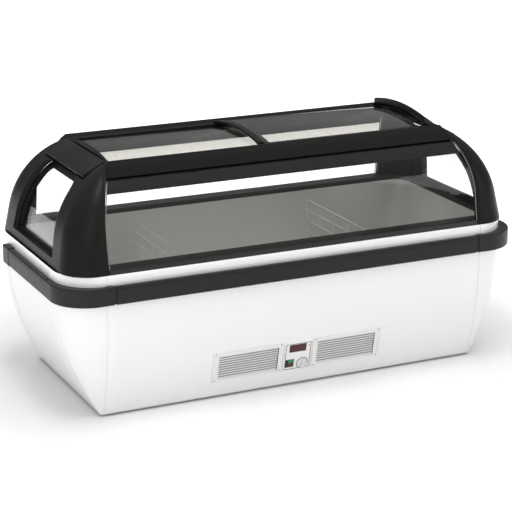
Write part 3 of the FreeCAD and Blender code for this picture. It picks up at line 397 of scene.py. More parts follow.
corner_grid = corner_sheet(SHEET_Z)
for flip_x, side in SIDES:
    for flip_y, end in ENDS:
        piece(f"{end}_{side}_corner_skin", "cabinet", enamel, [f"{end}_{side}_corner"],
              [thin_sheet(mirrored(corner_grid, flip_x, flip_y))])
    ys, dy = hem_rows(np.linspace(-END_SEAM_Y + SEAM / 2, END_SEAM_Y - SEAM / 2, 15))
    zs, dz = hem_rows(SHEET_Z, high=RIM_FOLD)
    x = cabinet_half(zs)[0][:, None] - np.maximum(dy[None, :], dz[:, None])
    end_grid = np.stack(np.broadcast_arrays(x, ys[None, :], zs[:, None]), -1)
    piece(f"{side}_end_skin", "cabinet", enamel, [f"{side}_end_panel"],
          [thin_sheet(mirrored(end_grid, flip_x, False))])

# ---------------------------------------------------------------- hood posts
# Four moulded corner posts of black satin plastic, curved two ways: the front and the end lean in and turn
# over, and the corner between them sharpens towards the roof. A ribbed lip runs down the seam with the
# glass, and a step down the edge of the end window.
HOOD_Z, HOOD_TOP = 535.0, 885.0
HOOD_FRONT = (402.5, math.radians(9.76), 660.0, 310.0)   # foot, lean, knee, arc
HOOD_END = (890.0, math.radians(9.0), 620.0, 350.0)
HOOD_CORNER, HOOD_WALL = 112.0, 22.0
SEAM_X, SEAM_KNEE, SEAM_ARC = 742.0, 660.0, 403.0
WINDOW_LOW, WINDOW_HIGH = 565.0, 830.0
WINDOW_FOOT, WINDOW_TOP = 213.0, 156.0
WINDOW_BEND, WINDOW_NICK = 55.0, 6.0
CAP_HALF = 195.0
HOOD_POINTS = (4, 22, 8)         # on the post's front, round its corner and on its end
SEAM_EDGE = ((0, 22), (0, 4), (0.5, 2.0), (1.8, 0.8), (3.4, 0.4),
             (5.0, 0.8), (6.0, 2.2), (8.6, 2.2), (9.8, 0.9), (12, 0.1))    # from the seam, and depth
WINDOW_EDGE = ((5.5, 0.3), (4.0, 1.4), (3.5, 3.2), (3.5, 9.0),
               (2.6, 10.3), (0.9, 10.6), (0, 11.8), (0, 22))                # from the window, and depth


def lean_and_arc(z, shape, depth=0.0):
    """Half width at z: it comes in by the lean from the foot to the knee, then follows an arc."""
    foot, lean, knee, arc = shape
    knee_half = foot - (knee - HOOD_Z) * math.tan(lean)
    centre, centre_z = knee_half - arc * math.cos(lean), knee - arc * math.sin(lean)
    radius = arc - depth
    knee_z = centre_z + radius * math.sin(lean)
    low = centre + radius * math.cos(lean) + (knee_z - z) * math.tan(lean)
    high = centre + np.sqrt(np.clip(radius ** 2 - (z - centre_z) ** 2, 0, None))
    return np.where(z <= knee_z, low, high)


def seam_half(z):
    """Half distance between the posts' seams at z: upright to the knee, then an arc."""
    return SEAM_X - SEAM_ARC + np.sqrt(SEAM_ARC ** 2 - np.clip(z - SEAM_KNEE, 0, None) ** 2)


def window_half(z, grow=0.0, top=WINDOW_HIGH):
    """Half width of the end window at z: a leaning side between a small round below and a wide one above."""
    foot_z, foot = WINDOW_LOW - grow, WINDOW_FOOT + grow
    slope = (WINDOW_FOOT - WINDOW_TOP) / (WINDOW_HIGH - WINDOW_LOW)
    half = foot - slope * (z - foot_z)
    stretch = math.hypot(1, slope)
    for radius, centre_z, over in ((WINDOW_BEND + grow, top - WINDOW_BEND - grow, True),
                                   (WINDOW_NICK, foot_z + WINDOW_NICK, False)):
        centre = foot - slope * (centre_z - foot_z) - radius * stretch
        arc = centre + np.sqrt(np.clip(radius ** 2 - (z - centre_z) ** 2, 0, None))
        edge = centre_z + radius * slope / stretch
        half = np.where(z > edge if over else z < edge, arc, half)
    return half


def hood_round(z, depth, start, stop):
    """Points round the hood's corner at each z: straight from x = start, an arc, straight to |y| = stop."""
    lead_count, bend_count, tail_count = HOOD_POINTS
    rise = (z - HOOD_Z) / (HOOD_TOP + 15 - HOOD_Z)
    radius = np.maximum(np.maximum(HOOD_CORNER * (1 - rise ** 3), 3.0) - depth, 3.0)
    centre_x = lean_and_arc(z, HOOD_END) - depth - radius
    centre_y = lean_and_arc(z, HOOD_FRONT) - depth - radius
    first = np.arcsin(np.clip((start - centre_x) / radius, 0, 1))
    last = np.maximum(np.arccos(np.clip((stop - centre_y) / radius, 0, 1)), first)
    turn = first[:, None] + (last - first)[:, None] * np.linspace(0, 1, bend_count)
    x = centre_x[:, None] + radius[:, None] * np.sin(turn)
    y = centre_y[:, None] + radius[:, None] * np.cos(turn)
    lead = np.linspace(0, 1, lead_count + 1)[:-1]
    tail = np.linspace(0, 1, tail_count + 1)[1:]
    begin, finish = np.minimum(start, x[:, 0])[:, None], np.minimum(stop, y[:, -1])[:, None]
    x = np.hstack([begin + (x[:, :1] - begin) * lead, x, np.repeat(x[:, -1:], tail_count, 1)])
    y = np.hstack([np.repeat(y[:, :1], lead_count, 1), y, y[:, -1:] + (finish - y[:, -1:]) * tail])
    return np.stack([x, -y, np.broadcast_to(z[:, None], x.shape)], -1)


def post_rings():
    """A ring of a post at each height: the seam's lip, outer face, window's step and inner face."""
    z = np.concatenate([(535.0, 535.4, 536.4), np.linspace(540, 564.9, 5), (565.0,),
                        np.linspace(566, 572, 4), np.linspace(580, 780, 26),
                        np.linspace(786, 829.9, 14), (830.0,), np.linspace(834, 884, 14)])
    foot = np.interp(z, (535.0, 535.4, 536.4), (1.4, 0.5, 0.0))
    seam = seam_half(z)
    edge = np.where(z < WINDOW_LOW, 0.0, np.where(z < WINDOW_HIGH, window_half(z), CAP_HALF))
    step = np.where(z < WINDOW_LOW, 0.0, 1.0)
    outer = hood_round(z, foot, seam + 14, edge + 0.2 + 6.8 * step)
    inner = hood_round(z, np.full(len(z), HOOD_WALL), seam, edge)
    front = [hood_round(z, foot + d, seam + o, edge)[:, :1] for o, d in SEAM_EDGE]
    side = [hood_round(z, foot + d, seam, edge + w * step)[:, -1:] for w, d in WINDOW_EDGE]
    return np.concatenate(front + [outer] + side + [inner[:, ::-1]], 1)


hood_black = Finish("hood_black", (0.011, 0.011, 0.0105), 0.30, Specular_IOR_Level=0.10)
hood_black.mottle((0.009, 0.009, 0.0088), (0.013, 0.0128, 0.0122), 3.0, 2.0)
hood_black.grain(0.10, 0.30, 26.0, 4.0)
hood_black.bump(hood_black.noise(900.0, 2.0), 0.10, 0.0003)
post = post_rings()
for flip_y, end in ENDS:
    for flip_x, side in SIDES:
        piece(f"{end}_{side}_post_moulding", "cabinet", hood_black, [f"{end}_{side}_post"],
              [tube(mirrored(post, flip_x, flip_y))], sharp=50)

# ---------------------------------------------------------------- sill
# Black frame on top of the foam rim, between the enamel and the glass, with a rounded front edge where
# the glass stands. Behind the posts it steps back by their thickness.
SILL_TOP = 553.0
RIM_X, RIM_Y, RIM_CORNER = 831.0, 335.5, 60.0
SILL_BEHIND = HOOD_WALL + 0.4    # how far in it runs behind the posts
SILL_STRAIGHT, SILL_BEND = 8, 14


def quarter(half_x, half_y, radius, first_x=0.0):
    """Right front quarter of a rounded rectangle, from x = first_x on its front to the middle of its end."""
    count = SILL_STRAIGHT
    turn = np.linspace(0, math.pi / 2, SILL_BEND)
    x = np.concatenate([np.linspace(first_x, half_x - radius, count, endpoint=False),
                        half_x - radius + radius * np.sin(turn), np.full(count, half_x)])
    y = np.concatenate([np.full(count, half_y), half_y - radius + radius * np.cos(turn),
                        np.linspace(half_y - radius, 0, count + 1)[1:]])
    return np.stack([x, -y], -1)


def all_round(points):
    """The closed outline whose right front quarter is given, by mirroring it three times."""
    right = np.concatenate([points, (points * (1, -1))[::-1][1:]])
    return np.concatenate([right, (right * (-1, 1))[::-1][1:-1]])


def sill_loop(z, marks, half_y, rest):
    """Closed outline at z: straight along the front through the marks, then the rest of the quarter."""
    front = np.stack([np.array(marks), np.full(len(marks), -half_y)], -1)
    loop = all_round(np.concatenate([front, rest]))
    return np.column_stack([loop, np.full(len(loop), z)])


def sill_outer(depth, z):
    half_x, half_y = float(lean_and_arc(z, HOOD_END)), float(lean_and_arc(z, HOOD_FRONT))
    behind = quarter(half_x - SILL_BEHIND, half_y - SILL_BEHIND, HOOD_CORNER - SILL_BEHIND, SEAM_X - 1.4)
    return sill_loop(z, (0, 200, 400, 560, 680, SEAM_X - 2.0), half_y - depth, behind)


def sill_inner(z):
    return sill_loop(z, (0, 200, 400, 560, 660, 690), RIM_Y, quarter(RIM_X, RIM_Y, RIM_CORNER, 700.0))


sill = np.stack([sill_inner(535.2), sill_outer(0.3, 535.2), sill_outer(0.0, 536.5), sill_outer(0.2, 549.0),
                 sill_outer(1.2, 552.0), sill_outer(3.0, SILL_TOP), sill_inner(SILL_TOP)])
sill_grey = Finish("sill_grey", (0.022, 0.022, 0.021), 0.38, Specular_IOR_Level=0.3)
sill_grey.mottle((0.019, 0.019, 0.018), (0.026, 0.026, 0.025), 5.0)
sill_grey.grain(0.12, 0.32, 30.0, 3.0)
piece("sill_frame", "cabinet", sill_grey, ["hood_sill"], [hoop(sill)], sharp=30)

# ---------------------------------------------------------------- glass
# Bent float glass, 6 mm, front and rear, and a flat-bent pane in each end. A black band is fixed inside the
# top of each long pane, the rear one with a printed strip below it, and a grey bead fills the seams: its grey
# is a painted highlight, for the light line that runs down each seam.
GLASS, GLASS_IN, GLASS_TOP = 6.0, 2.0, 836.0
GLASS_BACK = GLASS_IN + GLASS
SEAM_GAP, BAND_GAP = 1.0, 6.0
BAND_LOW, REAR_BAND_LOW, BAND_HIGH = 797.0, 820.0, 841.0
PRINT_LOW, PRINT_HIGH = 786.0, 819.5
WINDOW_DEPTH, WINDOW_WALL = 22.8, 12.0
SLOT_TOP = 800.0


def between_posts(profile, gap=SEAM_GAP, stations=9):
    """A closed (|y|, z) profile carried along the front from seam to seam, its ends following their curve."""
    across = np.linspace(-1, 1, stations)
    x = across[:, None] * (seam_half(profile[:, 1]) - gap)
    return np.stack(np.broadcast_arrays(x, -profile[:, 0], profile[:, 1]), -1)


def bent_profile(low, high, outer, inner, steps=28):
    """Outline of a bent sheet: up its outer face at one depth and down its inner face at another."""
    z = np.linspace(low, high, steps)
    sides = [np.stack([lean_and_arc(z, HOOD_FRONT, depth), z], -1) for depth in (outer, inner)]
    return np.concatenate([sides[0], sides[1][::-1]])


def clear_glass(name, tint, least=0.04):
    """Glass as a mirror over a clear sheet: the mirror's share runs from least to 1 as facing to the fifth."""
    made = Finish(name, (0.92, 0.93, 0.93), 0.03, Metallic=1.0)
    facing = made.node("ShaderNodeLayerWeight", inputs={"Blend": 0.5}, output="Facing")
    share = facing ** 5 * (1 - least) + least
    clear = made.node("ShaderNodeBsdfTransparent", inputs={"Color": (*tint, 1.0)})
    mirror = Value(made, made.shader.outputs[0])
    mixed = made.node("ShaderNodeMixShader", inputs={0: share, 1: clear, 2: mirror})
    made.feed(made.tree.nodes["Material Output"].inputs["Surface"], mixed)
    return made


hood_glass = clear_glass("hood_glass", (0.94, 0.945, 0.94), 0.02)
pane = between_posts(bent_profile(SILL_TOP, GLASS_TOP, GLASS_IN, GLASS_BACK), stations=13)
piece("front_pane", "cabinet", hood_glass, ["front_glass"], [tube(pane)])
piece("rear_pane", "cabinet", hood_glass, ["rear_glass"], [tube(mirrored(pane, False, True))])
bands = [bent_profile(low, BAND_HIGH, GLASS_BACK + 0.5, GLASS_BACK + 4.5, 10)
         for low in (BAND_LOW, REAR_BAND_LOW)]
front_band, rear_band = (between_posts(band, BAND_GAP) for band in bands)
band_black = Finish("band_black", (0.004, 0.004, 0.004), 0.42, Specular_IOR_Level=0.1)
band_black.grain(0.12, 0.36, 40.0, 3.0)
printed = between_posts(bent_profile(PRINT_LOW, PRINT_HIGH, GLASS_BACK + 0.1, GLASS_BACK + 0.5, 8), BAND_GAP)
piece("header_bands", "cabinet", band_black, ["header_strips"],
      [tube(front_band), tube(mirrored(rear_band, False, True)), tube(mirrored(printed, False, True))])
# Painted highlight: the beads' grey, far lighter than the black posts, draws the light line down each seam.
bead_highlight_grey = Finish("bead_highlight_grey", (0.13, 0.13, 0.128), 0.35)
bead_highlight_grey.grain(0.14, 0.28, 50.0, 3.0)
z = np.concatenate([np.linspace(SILL_TOP + 0.5, SEAM_KNEE, 6), np.linspace(SEAM_KNEE + 8, GLASS_TOP, 26)])
BEAD = ((4.6, 2.0), (4.2, 0.9), (2.0, 0.5), (1.2, 0.9), (1.0, 2.0))    # inside the seam, and depth
bead = np.stack([np.stack([seam_half(z) - o, -lean_and_arc(z, HOOD_FRONT, d), z], -1) for o, d in BEAD], 1)
piece("seam_beads", "cabinet", bead_highlight_grey, [],
      [tube(mirrored(bead, x, y)) for x in (False, True) for y in (False, True)], sharp=50)


def end_pane():
    """Rings of an end pane, one at each height, as wide as the frame's opening: outer face, then inner."""
    z = np.concatenate([np.linspace(577, 585, 4), np.linspace(590, 756, 20), np.linspace(762, 799.6, 12)])
    half = window_half(z, -WINDOW_WALL, SLOT_TOP)[:, None] * np.linspace(-1, 1, 13)
    outer_x, inner_x = (lean_and_arc(z, HOOD_END, WINDOW_DEPTH + 3.0 + into)[:, None] for into in (0.0, GLASS))
    outer, inner = (np.stack(np.broadcast_arrays(x, half, z[:, None]), -1) for x in (outer_x, inner_x))
    return np.concatenate([outer, inner[:, ::-1]], 1)


# ---------------------------------------------------------------- end window frames
# Stepped black plastic frame that clamps each end pane from outside. It is wide along the top, where two
# screws hold it.
def rounded_loop(corners, radii, steps=6):
    """Closed polygon whose corners are arcs: from each arrival point round its centre to the leaving one."""
    corners, points = np.asarray(corners, float), []
    for i, (here, radius) in enumerate(zip(corners, radii)):
        before = corners[i - 1] - here
        after = corners[(i + 1) % len(corners)] - here
        before, after = before / np.linalg.norm(before), after / np.linalg.norm(after)
        half = math.acos(np.clip(before @ after, -1, 1)) / 2
        centre = here + (before + after) / np.linalg.norm(before + after) * radius / math.sin(half)
        reach = radius / math.tan(half)
        start, stop = here + before * reach - centre, here + after * reach - centre
        sweep = math.pi - 2 * half
        share = np.linspace(0, 1, steps)[:, None]
        arc = np.sin((1 - share) * sweep) * start + np.sin(share * sweep) * stop
        points.append(centre + arc / max(math.sin(sweep), 1e-6))
    return np.concatenate(points)


def window_loop(grow, top, depth):
    """The window's outline grown by a margin, as points on the end's curved face at a depth."""
    foot, low, bend = WINDOW_FOOT + grow, WINDOW_LOW - grow, WINDOW_BEND + grow
    slope = (WINDOW_FOOT - WINDOW_TOP) / (WINDOW_HIGH - WINDOW_LOW)
    top_half = WINDOW_TOP + grow + (WINDOW_HIGH + grow - top) * slope
    flat = rounded_loop([(-foot, low), (foot, low), (top_half, top), (-top_half, top)],
                        [WINDOW_NICK, WINDOW_NICK, bend, bend], 14)
    loop = np.concatenate([np.linspace(a, b, 8 if np.hypot(*(b - a)) > 60 else 1, endpoint=False)
                           for a, b in zip(flat, np.roll(flat, -1, 0))])
    return np.column_stack([lean_and_arc(loop[:, 1], HOOD_END, depth), loop])


# Margin, top and depth of each loop round the frame's section, from the back over the face and back again.
FRAME_STEPS = ((11.5, 836, 34.8), (11.5, 836, 23.0), (-1.5, 828.5, 23.0), (-2.6, 827, 24.4),
               (-4.6, 825, 24.4), (-5.8, 823.5, 22.9), (-10.4, 803, 22.9), (-11.6, 801, 23.8),
               (-12, SLOT_TOP, 25.4), (-12, SLOT_TOP, 34.8))
frame_loops = np.stack([window_loop(*step) for step in FRAME_STEPS])
end_pane_rings = end_pane()
for flip_x, side in SIDES:
    piece(f"{side}_window_surround", "cabinet", hood_black, [f"{side}_window_frame"],
          [hoop(mirrored(frame_loops, flip_x, False))], sharp=30)
    piece(f"{side}_end_pane", "cabinet", hood_glass, [f"{side}_end_glass"],
          [tube(mirrored(end_pane_rings, flip_x, False))])

# ---------------------------------------------------------------- rails
# Extruded black rails over the long panes: a sloping face, a rounded nose, a raised guard, the flat that
# carries the upper lid, and the lower track inside it. The corners of the section and their rounds:
RAIL = (((273, 845), 1.5), ((250, 878), 5), ((230, 896), 5), ((208, 884), 3),
        ((187, 884), 1), ((187, 866), 0.6), ((172, 866), 0.6), ((172, 860), 0.6),
        ((205, 860), 3), ((230, 870), 4), ((263, 839), 0.8))
rail_black = Finish("rail_black", (0.010, 0.010, 0.0098), 0.34, Specular_IOR_Level=0.09)
rail_black.mottle((0.0085, 0.0085, 0.0083), (0.012, 0.012, 0.0117), 2.0, 2.0, stretch=(0.3, 4, 4))
rail_black.grain(0.12, 0.30, 34.0, 3.0, stretch=(0.1, 3, 3))
rail = between_posts(rounded_loop([p for p, _ in RAIL], [r for _, r in RAIL], 6))
for flip_y, end in ENDS:
    piece(f"{end}_rail_bar", "cabinet", rail_black, [f"{end}_rail"],
          [tube(mirrored(rail, False, flip_y))], sharp=35)

# ---------------------------------------------------------------- end caps
# Moulded hips that close the roof at each end: the right one rises to an arched ridge under the upper lid,
# and the left one has a lip under the lower lid's frame.
LID_ARC = 884.0
CAP = (((672, 888), 1), ((678, 888), 6), ((757, 842), 4), ((750, 830), 2),
       ((688, 866), 2), ((683, 860), 1), ((672, 860), 1))
CAP_TOP, CAP_BOW = 888.0, 6339.0


def arch(profile, apex, half, stations=49, floor=-1e9):
    """A closed (x, drop) section over an arch: z is apex - r + root of ((r - drop) squared - y squared)."""
    y = np.linspace(-half, half, stations)
    z = apex - LID_ARC + np.sqrt((LID_ARC - profile[:, 1]) ** 2 - y[:, None] ** 2)
    return np.stack(np.broadcast_arrays(profile[:, 0], y[:, None], np.maximum(z, floor)), -1)


def bar_profile(x0, x1, drop0, drop1, radius=1.0):
    return rounded_loop([(x0, drop0), (x1, drop0), (x1, drop1), (x0, drop1)], [radius] * 4, 4)


cap_profile = rounded_loop([p for p, _ in CAP], [r for _, r in CAP], 5)
y = np.linspace(-CAP_HALF + 0.5, CAP_HALF - 0.5, 31)[:, None]
cap_z = np.minimum(cap_profile[:, 1], CAP_TOP - CAP_BOW + np.sqrt(CAP_BOW ** 2 - y ** 2))
cap = np.stack(np.broadcast_arrays(cap_profile[:, 0], y, cap_z), -1)
ridge = arch(bar_profile(656, 675, 0, 39, 2.5), 905.8, 186, floor=867.0)
lip = arch(bar_profile(-674, -657, 0, 5, 0.8), 885.9, 171)
for flip_x, side, extra in ((True, "left", lip), (False, "right", ridge)):
    piece(f"{side}_hip", "cabinet", hood_black, [f"{side}_end_cap"],
          [tube(mirrored(cap, flip_x, False)), tube(extra)], sharp=35)

# ---------------------------------------------------------------- lids
# Two bent glass lids that slide past each other: the left one low between the rails, the right one above
# it on their flats. Each has an arched frame at both ends, and the outer ones are their handles.
LID_GLASS = 4.0
LEFT_APEX, LEFT_HALF, LEFT_X = 897.0, 185.0, (-655.0, -33.0)
RIGHT_APEX, RIGHT_HALF, RIGHT_X = 913.0, 197.0, (-55.0, 613.0)
lid_glass = clear_glass("lid_glass", (0.78, 0.77, 0.745), 0.04)
runner_black = Finish("runner_black", (0.016, 0.016, 0.016), 0.5)
runner_black.grain(0.15, 0.42, 60.0)


def lid_piece(side, name, finish, node, solids, sharp=35.0):
    parts = [tube(rings) for rings in solids]
    piece(f"{side}_lid_{name}", f"{side}_lid", finish, [f"{side}_lid_{node}"], parts, sharp)


def lid_bar(x0, x1, fall, radii, apex, half, steps=5):
    """Arched bar across a lid, with the rounds of its section from the top left corner onwards."""
    return arch(rounded_loop([(x0, 0), (x1, 0), (x1, fall), (x0, fall)], radii, steps), apex, half)


left_glass = arch(bar_profile(*LEFT_X, 0, LID_GLASS, 0.6), LEFT_APEX, LEFT_HALF)
right_glass = arch(bar_profile(*RIGHT_X, 0, LID_GLASS, 0.6), RIGHT_APEX, RIGHT_HALF)
lid_piece("left", "pane", lid_glass, "glass", [left_glass], 40.0)
lid_piece("right", "pane", lid_glass, "glass", [right_glass], 40.0)
lid_piece("left", "pull", rail_black, "handle",
          [lid_bar(-668, -655, 16, (4, 1.5, 1, 2), 902.5, LEFT_HALF)])
lid_piece("left", "edge", rail_black, "seal",
          [lid_bar(-33, -20, 14, (1.5, 3, 1, 1), 901, LEFT_HALF)])
lid_piece("right", "edge", rail_black, "seal",
          [lid_bar(-80, -55, 9.1, (3, 1.5, 0.8, 1), 916, RIGHT_HALF)])
frame_profile = rounded_loop([(613, 0), (624, 0), (652, 12), (652, 14), (613, 14)], [1, 2, 0.8, 0.8, 0.8], 5)
lid_piece("right", "pull", rail_black, "handle",
          [arch(frame_profile, 921, RIGHT_HALF), lid_bar(613, 624, 29, (3.5, 4.5, 1, 1), 943, 187, 6),
           lid_bar(628, 632, 6, (1.2, 1.2, 0.5, 0.5), 921.5, 190, 4)])


def under_lid(apex, half, width, low, x_ends):
    """Bars along X under both edges of a lid, whose tops follow the glass above them."""
    y = np.array((-half, width - half))
    top = apex - LID_ARC + np.sqrt((LID_ARC - LID_GLASS) ** 2 - y ** 2) - 0.1
    loop = rounded_loop([(y[0], low), (y[1], low), (y[1], top[1]), (y[0], top[0])], [0.8] * 4, 4)
    bar = np.stack(np.broadcast_arrays(np.array(x_ends)[:, None], loop[:, 0], loop[:, 1]), -1)
    return [bar, mirrored(bar, False, True)]


lid_piece("left", "slides", runner_black, "runners",
          under_lid(LEFT_APEX, LEFT_HALF, 11, 866.3, LEFT_X), 40.0)
lid_piece("right", "slides", runner_black, "runners",
          under_lid(RIGHT_APEX, RIGHT_HALF, 9, 884.3, RIGHT_X), 40.0)

# ---------------------------------------------------------------- bumper
# Black vinyl bars round the front and both ends, lipped along the top, with hollow moulded corners that
# are screwed on where the bars stop, and a blunt cap at the rear end of each side.
BUMPER_LOW, BUMPER_HIGH, BUMPER_OUT = 434.0, 500.0, 26.0
BUMPER_ROOM = 0.2                # between the bars and the enamel
BUMPER_BEND = 113.0              # radius of the line the bumper follows, on the cabinet's face
BUMPER_SEAM_X, BUMPER_SEAM_Y = 734.0, 238.0
BUMPER_END_SEAM, BUMPER_END = 167.0, 236.0
NECK_START, NECK_END = BUMPER_SEAM_X - 9, BUMPER_SEAM_X - 1.5    # the front bar is thinner between these
STOP_DRAW = 12.0
BAR = (((0.2, 434), 0.3), ((22, 434), 2), ((26, 438), 2), ((26, 489), 0.4),    # (out, z), and the round there
       ((25, 490), 0.3), ((25, 491.4), 0.3), ((26, 492.4), 0.4), ((26, 496.5), 1.5),
       ((23, 500), 1.5), ((7.5, 500), 1), ((7, 494), 1), ((0.2, 494), 0.3))
SOLID = (((0.2, 434), 0.3), ((22, 434), 2), ((26, 438), 2),
         ((26, 496.5), 1.5), ((23, 500), 1.5), ((0.2, 500), 0.3))
NECK = (((0.2, 436), 0.3), ((20.5, 436), 2), ((23.5, 440), 2),
        ((23.5, 494), 1.5), ((21, 498), 1.5), ((0.2, 498), 0.3))
HOLLOW = (((0.2, 450), 0.3), ((19.5, 450), 1), ((19.5, 434), 1), ((23, 434), 1),
          ((26, 438), 2), ((26, 496.5), 1.5), ((23.5, 500), 1.2), ((19.5, 500), 0.8),
          ((19.5, 498), 0.8), ((0.2, 498), 0.3))


def bumper_run(section, feet, outs):
    """Rings of an (out, z) section at each foot along its outward direction, the inner edge on the enamel."""
    loop = rounded_loop([p for p, _ in section], [r for _, r in section], 4)
    centre = np.array((CORNER_X, -END_SEAM_Y - SEAM / 2))
    face = CABINET_X - CORNER_X + BUMPER_ROOM
    rings = []
    for foot, out in zip(feet, outs):
        reach = BUMPER_ROOM
        if foot[0] > centre[0] and foot[1] < centre[1]:
            away = foot - centre
            along = away @ out
            reach = math.sqrt(along ** 2 - away @ away + face ** 2) - along
        push = np.where(loop[:, 0] < 0.9, reach + loop[:, 0] - BUMPER_ROOM, loop[:, 0])
        flat = foot + push[:, None] * out
        rings.append(np.column_stack([flat, loop[:, 1]]))
    return np.stack(rings)


def front_run(section, x0, x1):
    return bumper_run(section, np.array([(x0, -CABINET_Y), (x1, -CABINET_Y)]), [np.array((0, -1.0))] * 2)


def side_run(section, y0, y1):
    return bumper_run(section, np.array([(CABINET_X, y0), (CABINET_X, y1)]), [np.array((1.0, 0))] * 2)


def corner_run(section, x0):
    turn = np.linspace(0, math.pi / 2, 28)
    outs = np.stack([np.sin(turn), -np.cos(turn)], -1)
    feet = np.array((CABINET_X - BUMPER_BEND, -(CABINET_Y - BUMPER_BEND))) + outs * BUMPER_BEND
    feet = np.concatenate([[(x0, -CABINET_Y)], feet, [(CABINET_X, -BUMPER_SEAM_Y - 0.5)]])
    return bumper_run(section, feet, np.concatenate([outs[:1], outs, outs[-1:]]))


def end_stop():
    """Cap of a side bar: a slightly larger section whose outer corner is drawn in over its last stretch."""
    loop = rounded_loop([(0.2, 432.5), (23, 432.5), (27, 436), (27, 498.5), (23.5, 502), (0.2, 502)],
                        [0.3, 2, 2, 2, 2, 0.3], 4)
    turn = np.linspace(0, math.pi / 2, 8)
    y = np.concatenate([[BUMPER_END_SEAM + 0.4], BUMPER_END - STOP_DRAW + STOP_DRAW * np.sin(turn)])
    draw = np.concatenate([[0.0], STOP_DRAW * (1 - np.cos(turn))])
    middle = (BUMPER_LOW + BUMPER_HIGH) / 2
    rings = []
    for at, drawn in zip(y, draw):
        x = CABINET_X + np.minimum(loop[:, 0], 27 - drawn)
        z = middle + (loop[:, 1] - middle) * (1 - drawn / 240)
        rings.append(np.column_stack([x, np.full(len(loop), at), z]))
    return np.stack(rings)


bumper_black = Finish("bumper_black", (0.014, 0.014, 0.0135), 0.42, Specular_IOR_Level=0.20)
bumper_black.mottle((0.012, 0.012, 0.0115), (0.017, 0.017, 0.0162), 2.4, 3.0)
bumper_black.grain(0.14, 0.34, 38.0, 4.0)
bumper_black.bump(bumper_black.noise(1100.0, 2.0), 0.12, 0.0003)
piece("bumper_front_bar", "cabinet", bumper_black, ["bumper_front"],
      [tube(front_run(BAR, -NECK_START, NECK_START)), tube(front_run(NECK, NECK_START, NECK_END)),
       tube(front_run(NECK, -NECK_END, -NECK_START))], sharp=35)
side_bar = side_run(BAR, -BUMPER_SEAM_Y + 0.5, BUMPER_END_SEAM - 0.4)
corner = [front_run(SOLID, BUMPER_SEAM_X + 0.5, BUMPER_SEAM_X + 25), corner_run(HOLLOW, BUMPER_SEAM_X + 25)]
stops = end_stop()
for flip_x, side in SIDES:
    piece(f"bumper_{side}_bar", "cabinet", bumper_black, [f"bumper_{side}"],
          [tube(mirrored(side_bar, flip_x, False))], sharp=35)
    piece(f"bumper_{side}_corner", "cabinet", bumper_black, [f"bumper_corner_{side}"],
          [tube(mirrored(rings, flip_x, False)) for rings in corner], sharp=35)
piece("bumper_stops", "cabinet", bumper_black, ["bumper_end_caps"],
      [tube(stops), tube(mirrored(stops, True, False))], sharp=35)

# ---------------------------------------------------------------- screws
# Dark socket screws hold the bumper's corners. The plates have domed zinc screws, and the window frames
# dark ones of the same shape.


def turned(profile, place, steps=20):
    """Solid of revolution from (radius, height) pairs; place turns (across, height, up) into cabinet points."""
    turn = np.linspace(0, 2 * math.pi, steps, endpoint=False)
    rings = [place(r * np.cos(turn), h, r * np.sin(turn)) for r, h in profile]
    return tube([np.stack(np.broadcast_arrays(*ring), -1) for ring in rings])


SOCKET = ((2.8, -3.0), (2.8, 0.3), (4.0, 0.3), (4.6, -0.4), (4.6, -6.0))
DOME = ((0.9, 0.9), (0.9, 1.55), (2.2, 1.4), (3.1, 0.9), (3.5, 0.2), (3.5, -0.5))
screw_dark = Finish("screw_dark", (0.003, 0.003, 0.003), 0.4, Specular_IOR_Level=0.2)
screw_dark.grain(0.2, 0.22, 300.0)
screw_zinc = Finish("screw_zinc", (0.50, 0.50, 0.49), 0.32, Metallic=1.0)
screw_zinc.grain(0.2, 0.24, 300.0)
heads = [turned(SOCKET, lambda a, h, b, x=x, z=z: (x + a, -CABINET_Y - BUMPER_OUT - h, z + b))
         for x in (-747.0, 747.0) for z in (447.0, 487.0)]
piece("bumper_corner_screws", "cabinet", screw_dark, ["bumper_screws"], heads)

# ---------------------------------------------------------------- grilles and control plate
# White plastic plates on the leaning part of the front. The louvres slope up and in behind a rounded lip, and
# the grilles are greyed with painted shade where they lie deep; the control plate between them has a thin dark
# line of painted shade for the groove round its border, a spot, and a ring round the knob.
PLATE_LEAN = math.radians(12.77)
PLATE_FOOT_Y, PLATE_FOOT_Z = -358.54, 60.0
GRILLE_TALL, PANEL_TALL, PLATE_BACK = 122.0, 115.0, 2.9
LOUVRE_X, LOUVRE_V, LOUVRE_COUNT, LOUVRE_PITCH = (80.0, 320.0), 9.0, 10, 10.0
KNOB_X, KNOB_V = 21.0, 24.0
DISPLAY_X, DISPLAY_V = (-37.0, 32.0), (76.0, 108.0)
ROCKER_X, GREEN_V, RED_V = -31.0, 38.0, 21.5


def on_plate(x, out, v):
    """Cabinet points for places on the leaning plate: across, out of its foot plane, and up along it."""
    x, out, v = np.broadcast_arrays(x, out, v)
    y = PLATE_FOOT_Y - out * math.cos(PLATE_LEAN) - v * math.sin(PLATE_LEAN)
    return x, y, PLATE_FOOT_Z - out * math.sin(PLATE_LEAN) + v * math.cos(PLATE_LEAN)


def plate_loop(x0, x1, v0, v1, out, inset, radius=4.0):
    """Rounded rectangle at a height over the plate, drawn in by inset."""
    x0, x1, v0, v1 = x0 + inset, x1 - inset, v0 + inset, v1 - inset
    loop = rounded_loop([(x0, v0), (x1, v0), (x1, v1), (x0, v1)], [max(radius - inset, 0.4)] * 4, 6)
    return np.stack(on_plate(loop[:, 0], out, loop[:, 1]), -1)


def plate_block(x0, x1, v0, v1, low, high, edge=0.6, radius=1.5):
    """Block on the plate from one height to another, its front edge rounded over."""
    steps = ((0, low), (0, high - edge), (edge * 0.3, high - edge * 0.3), (edge, high))
    return tube([plate_loop(x0, x1, v0, v1, out, inset, radius) for inset, out in steps])


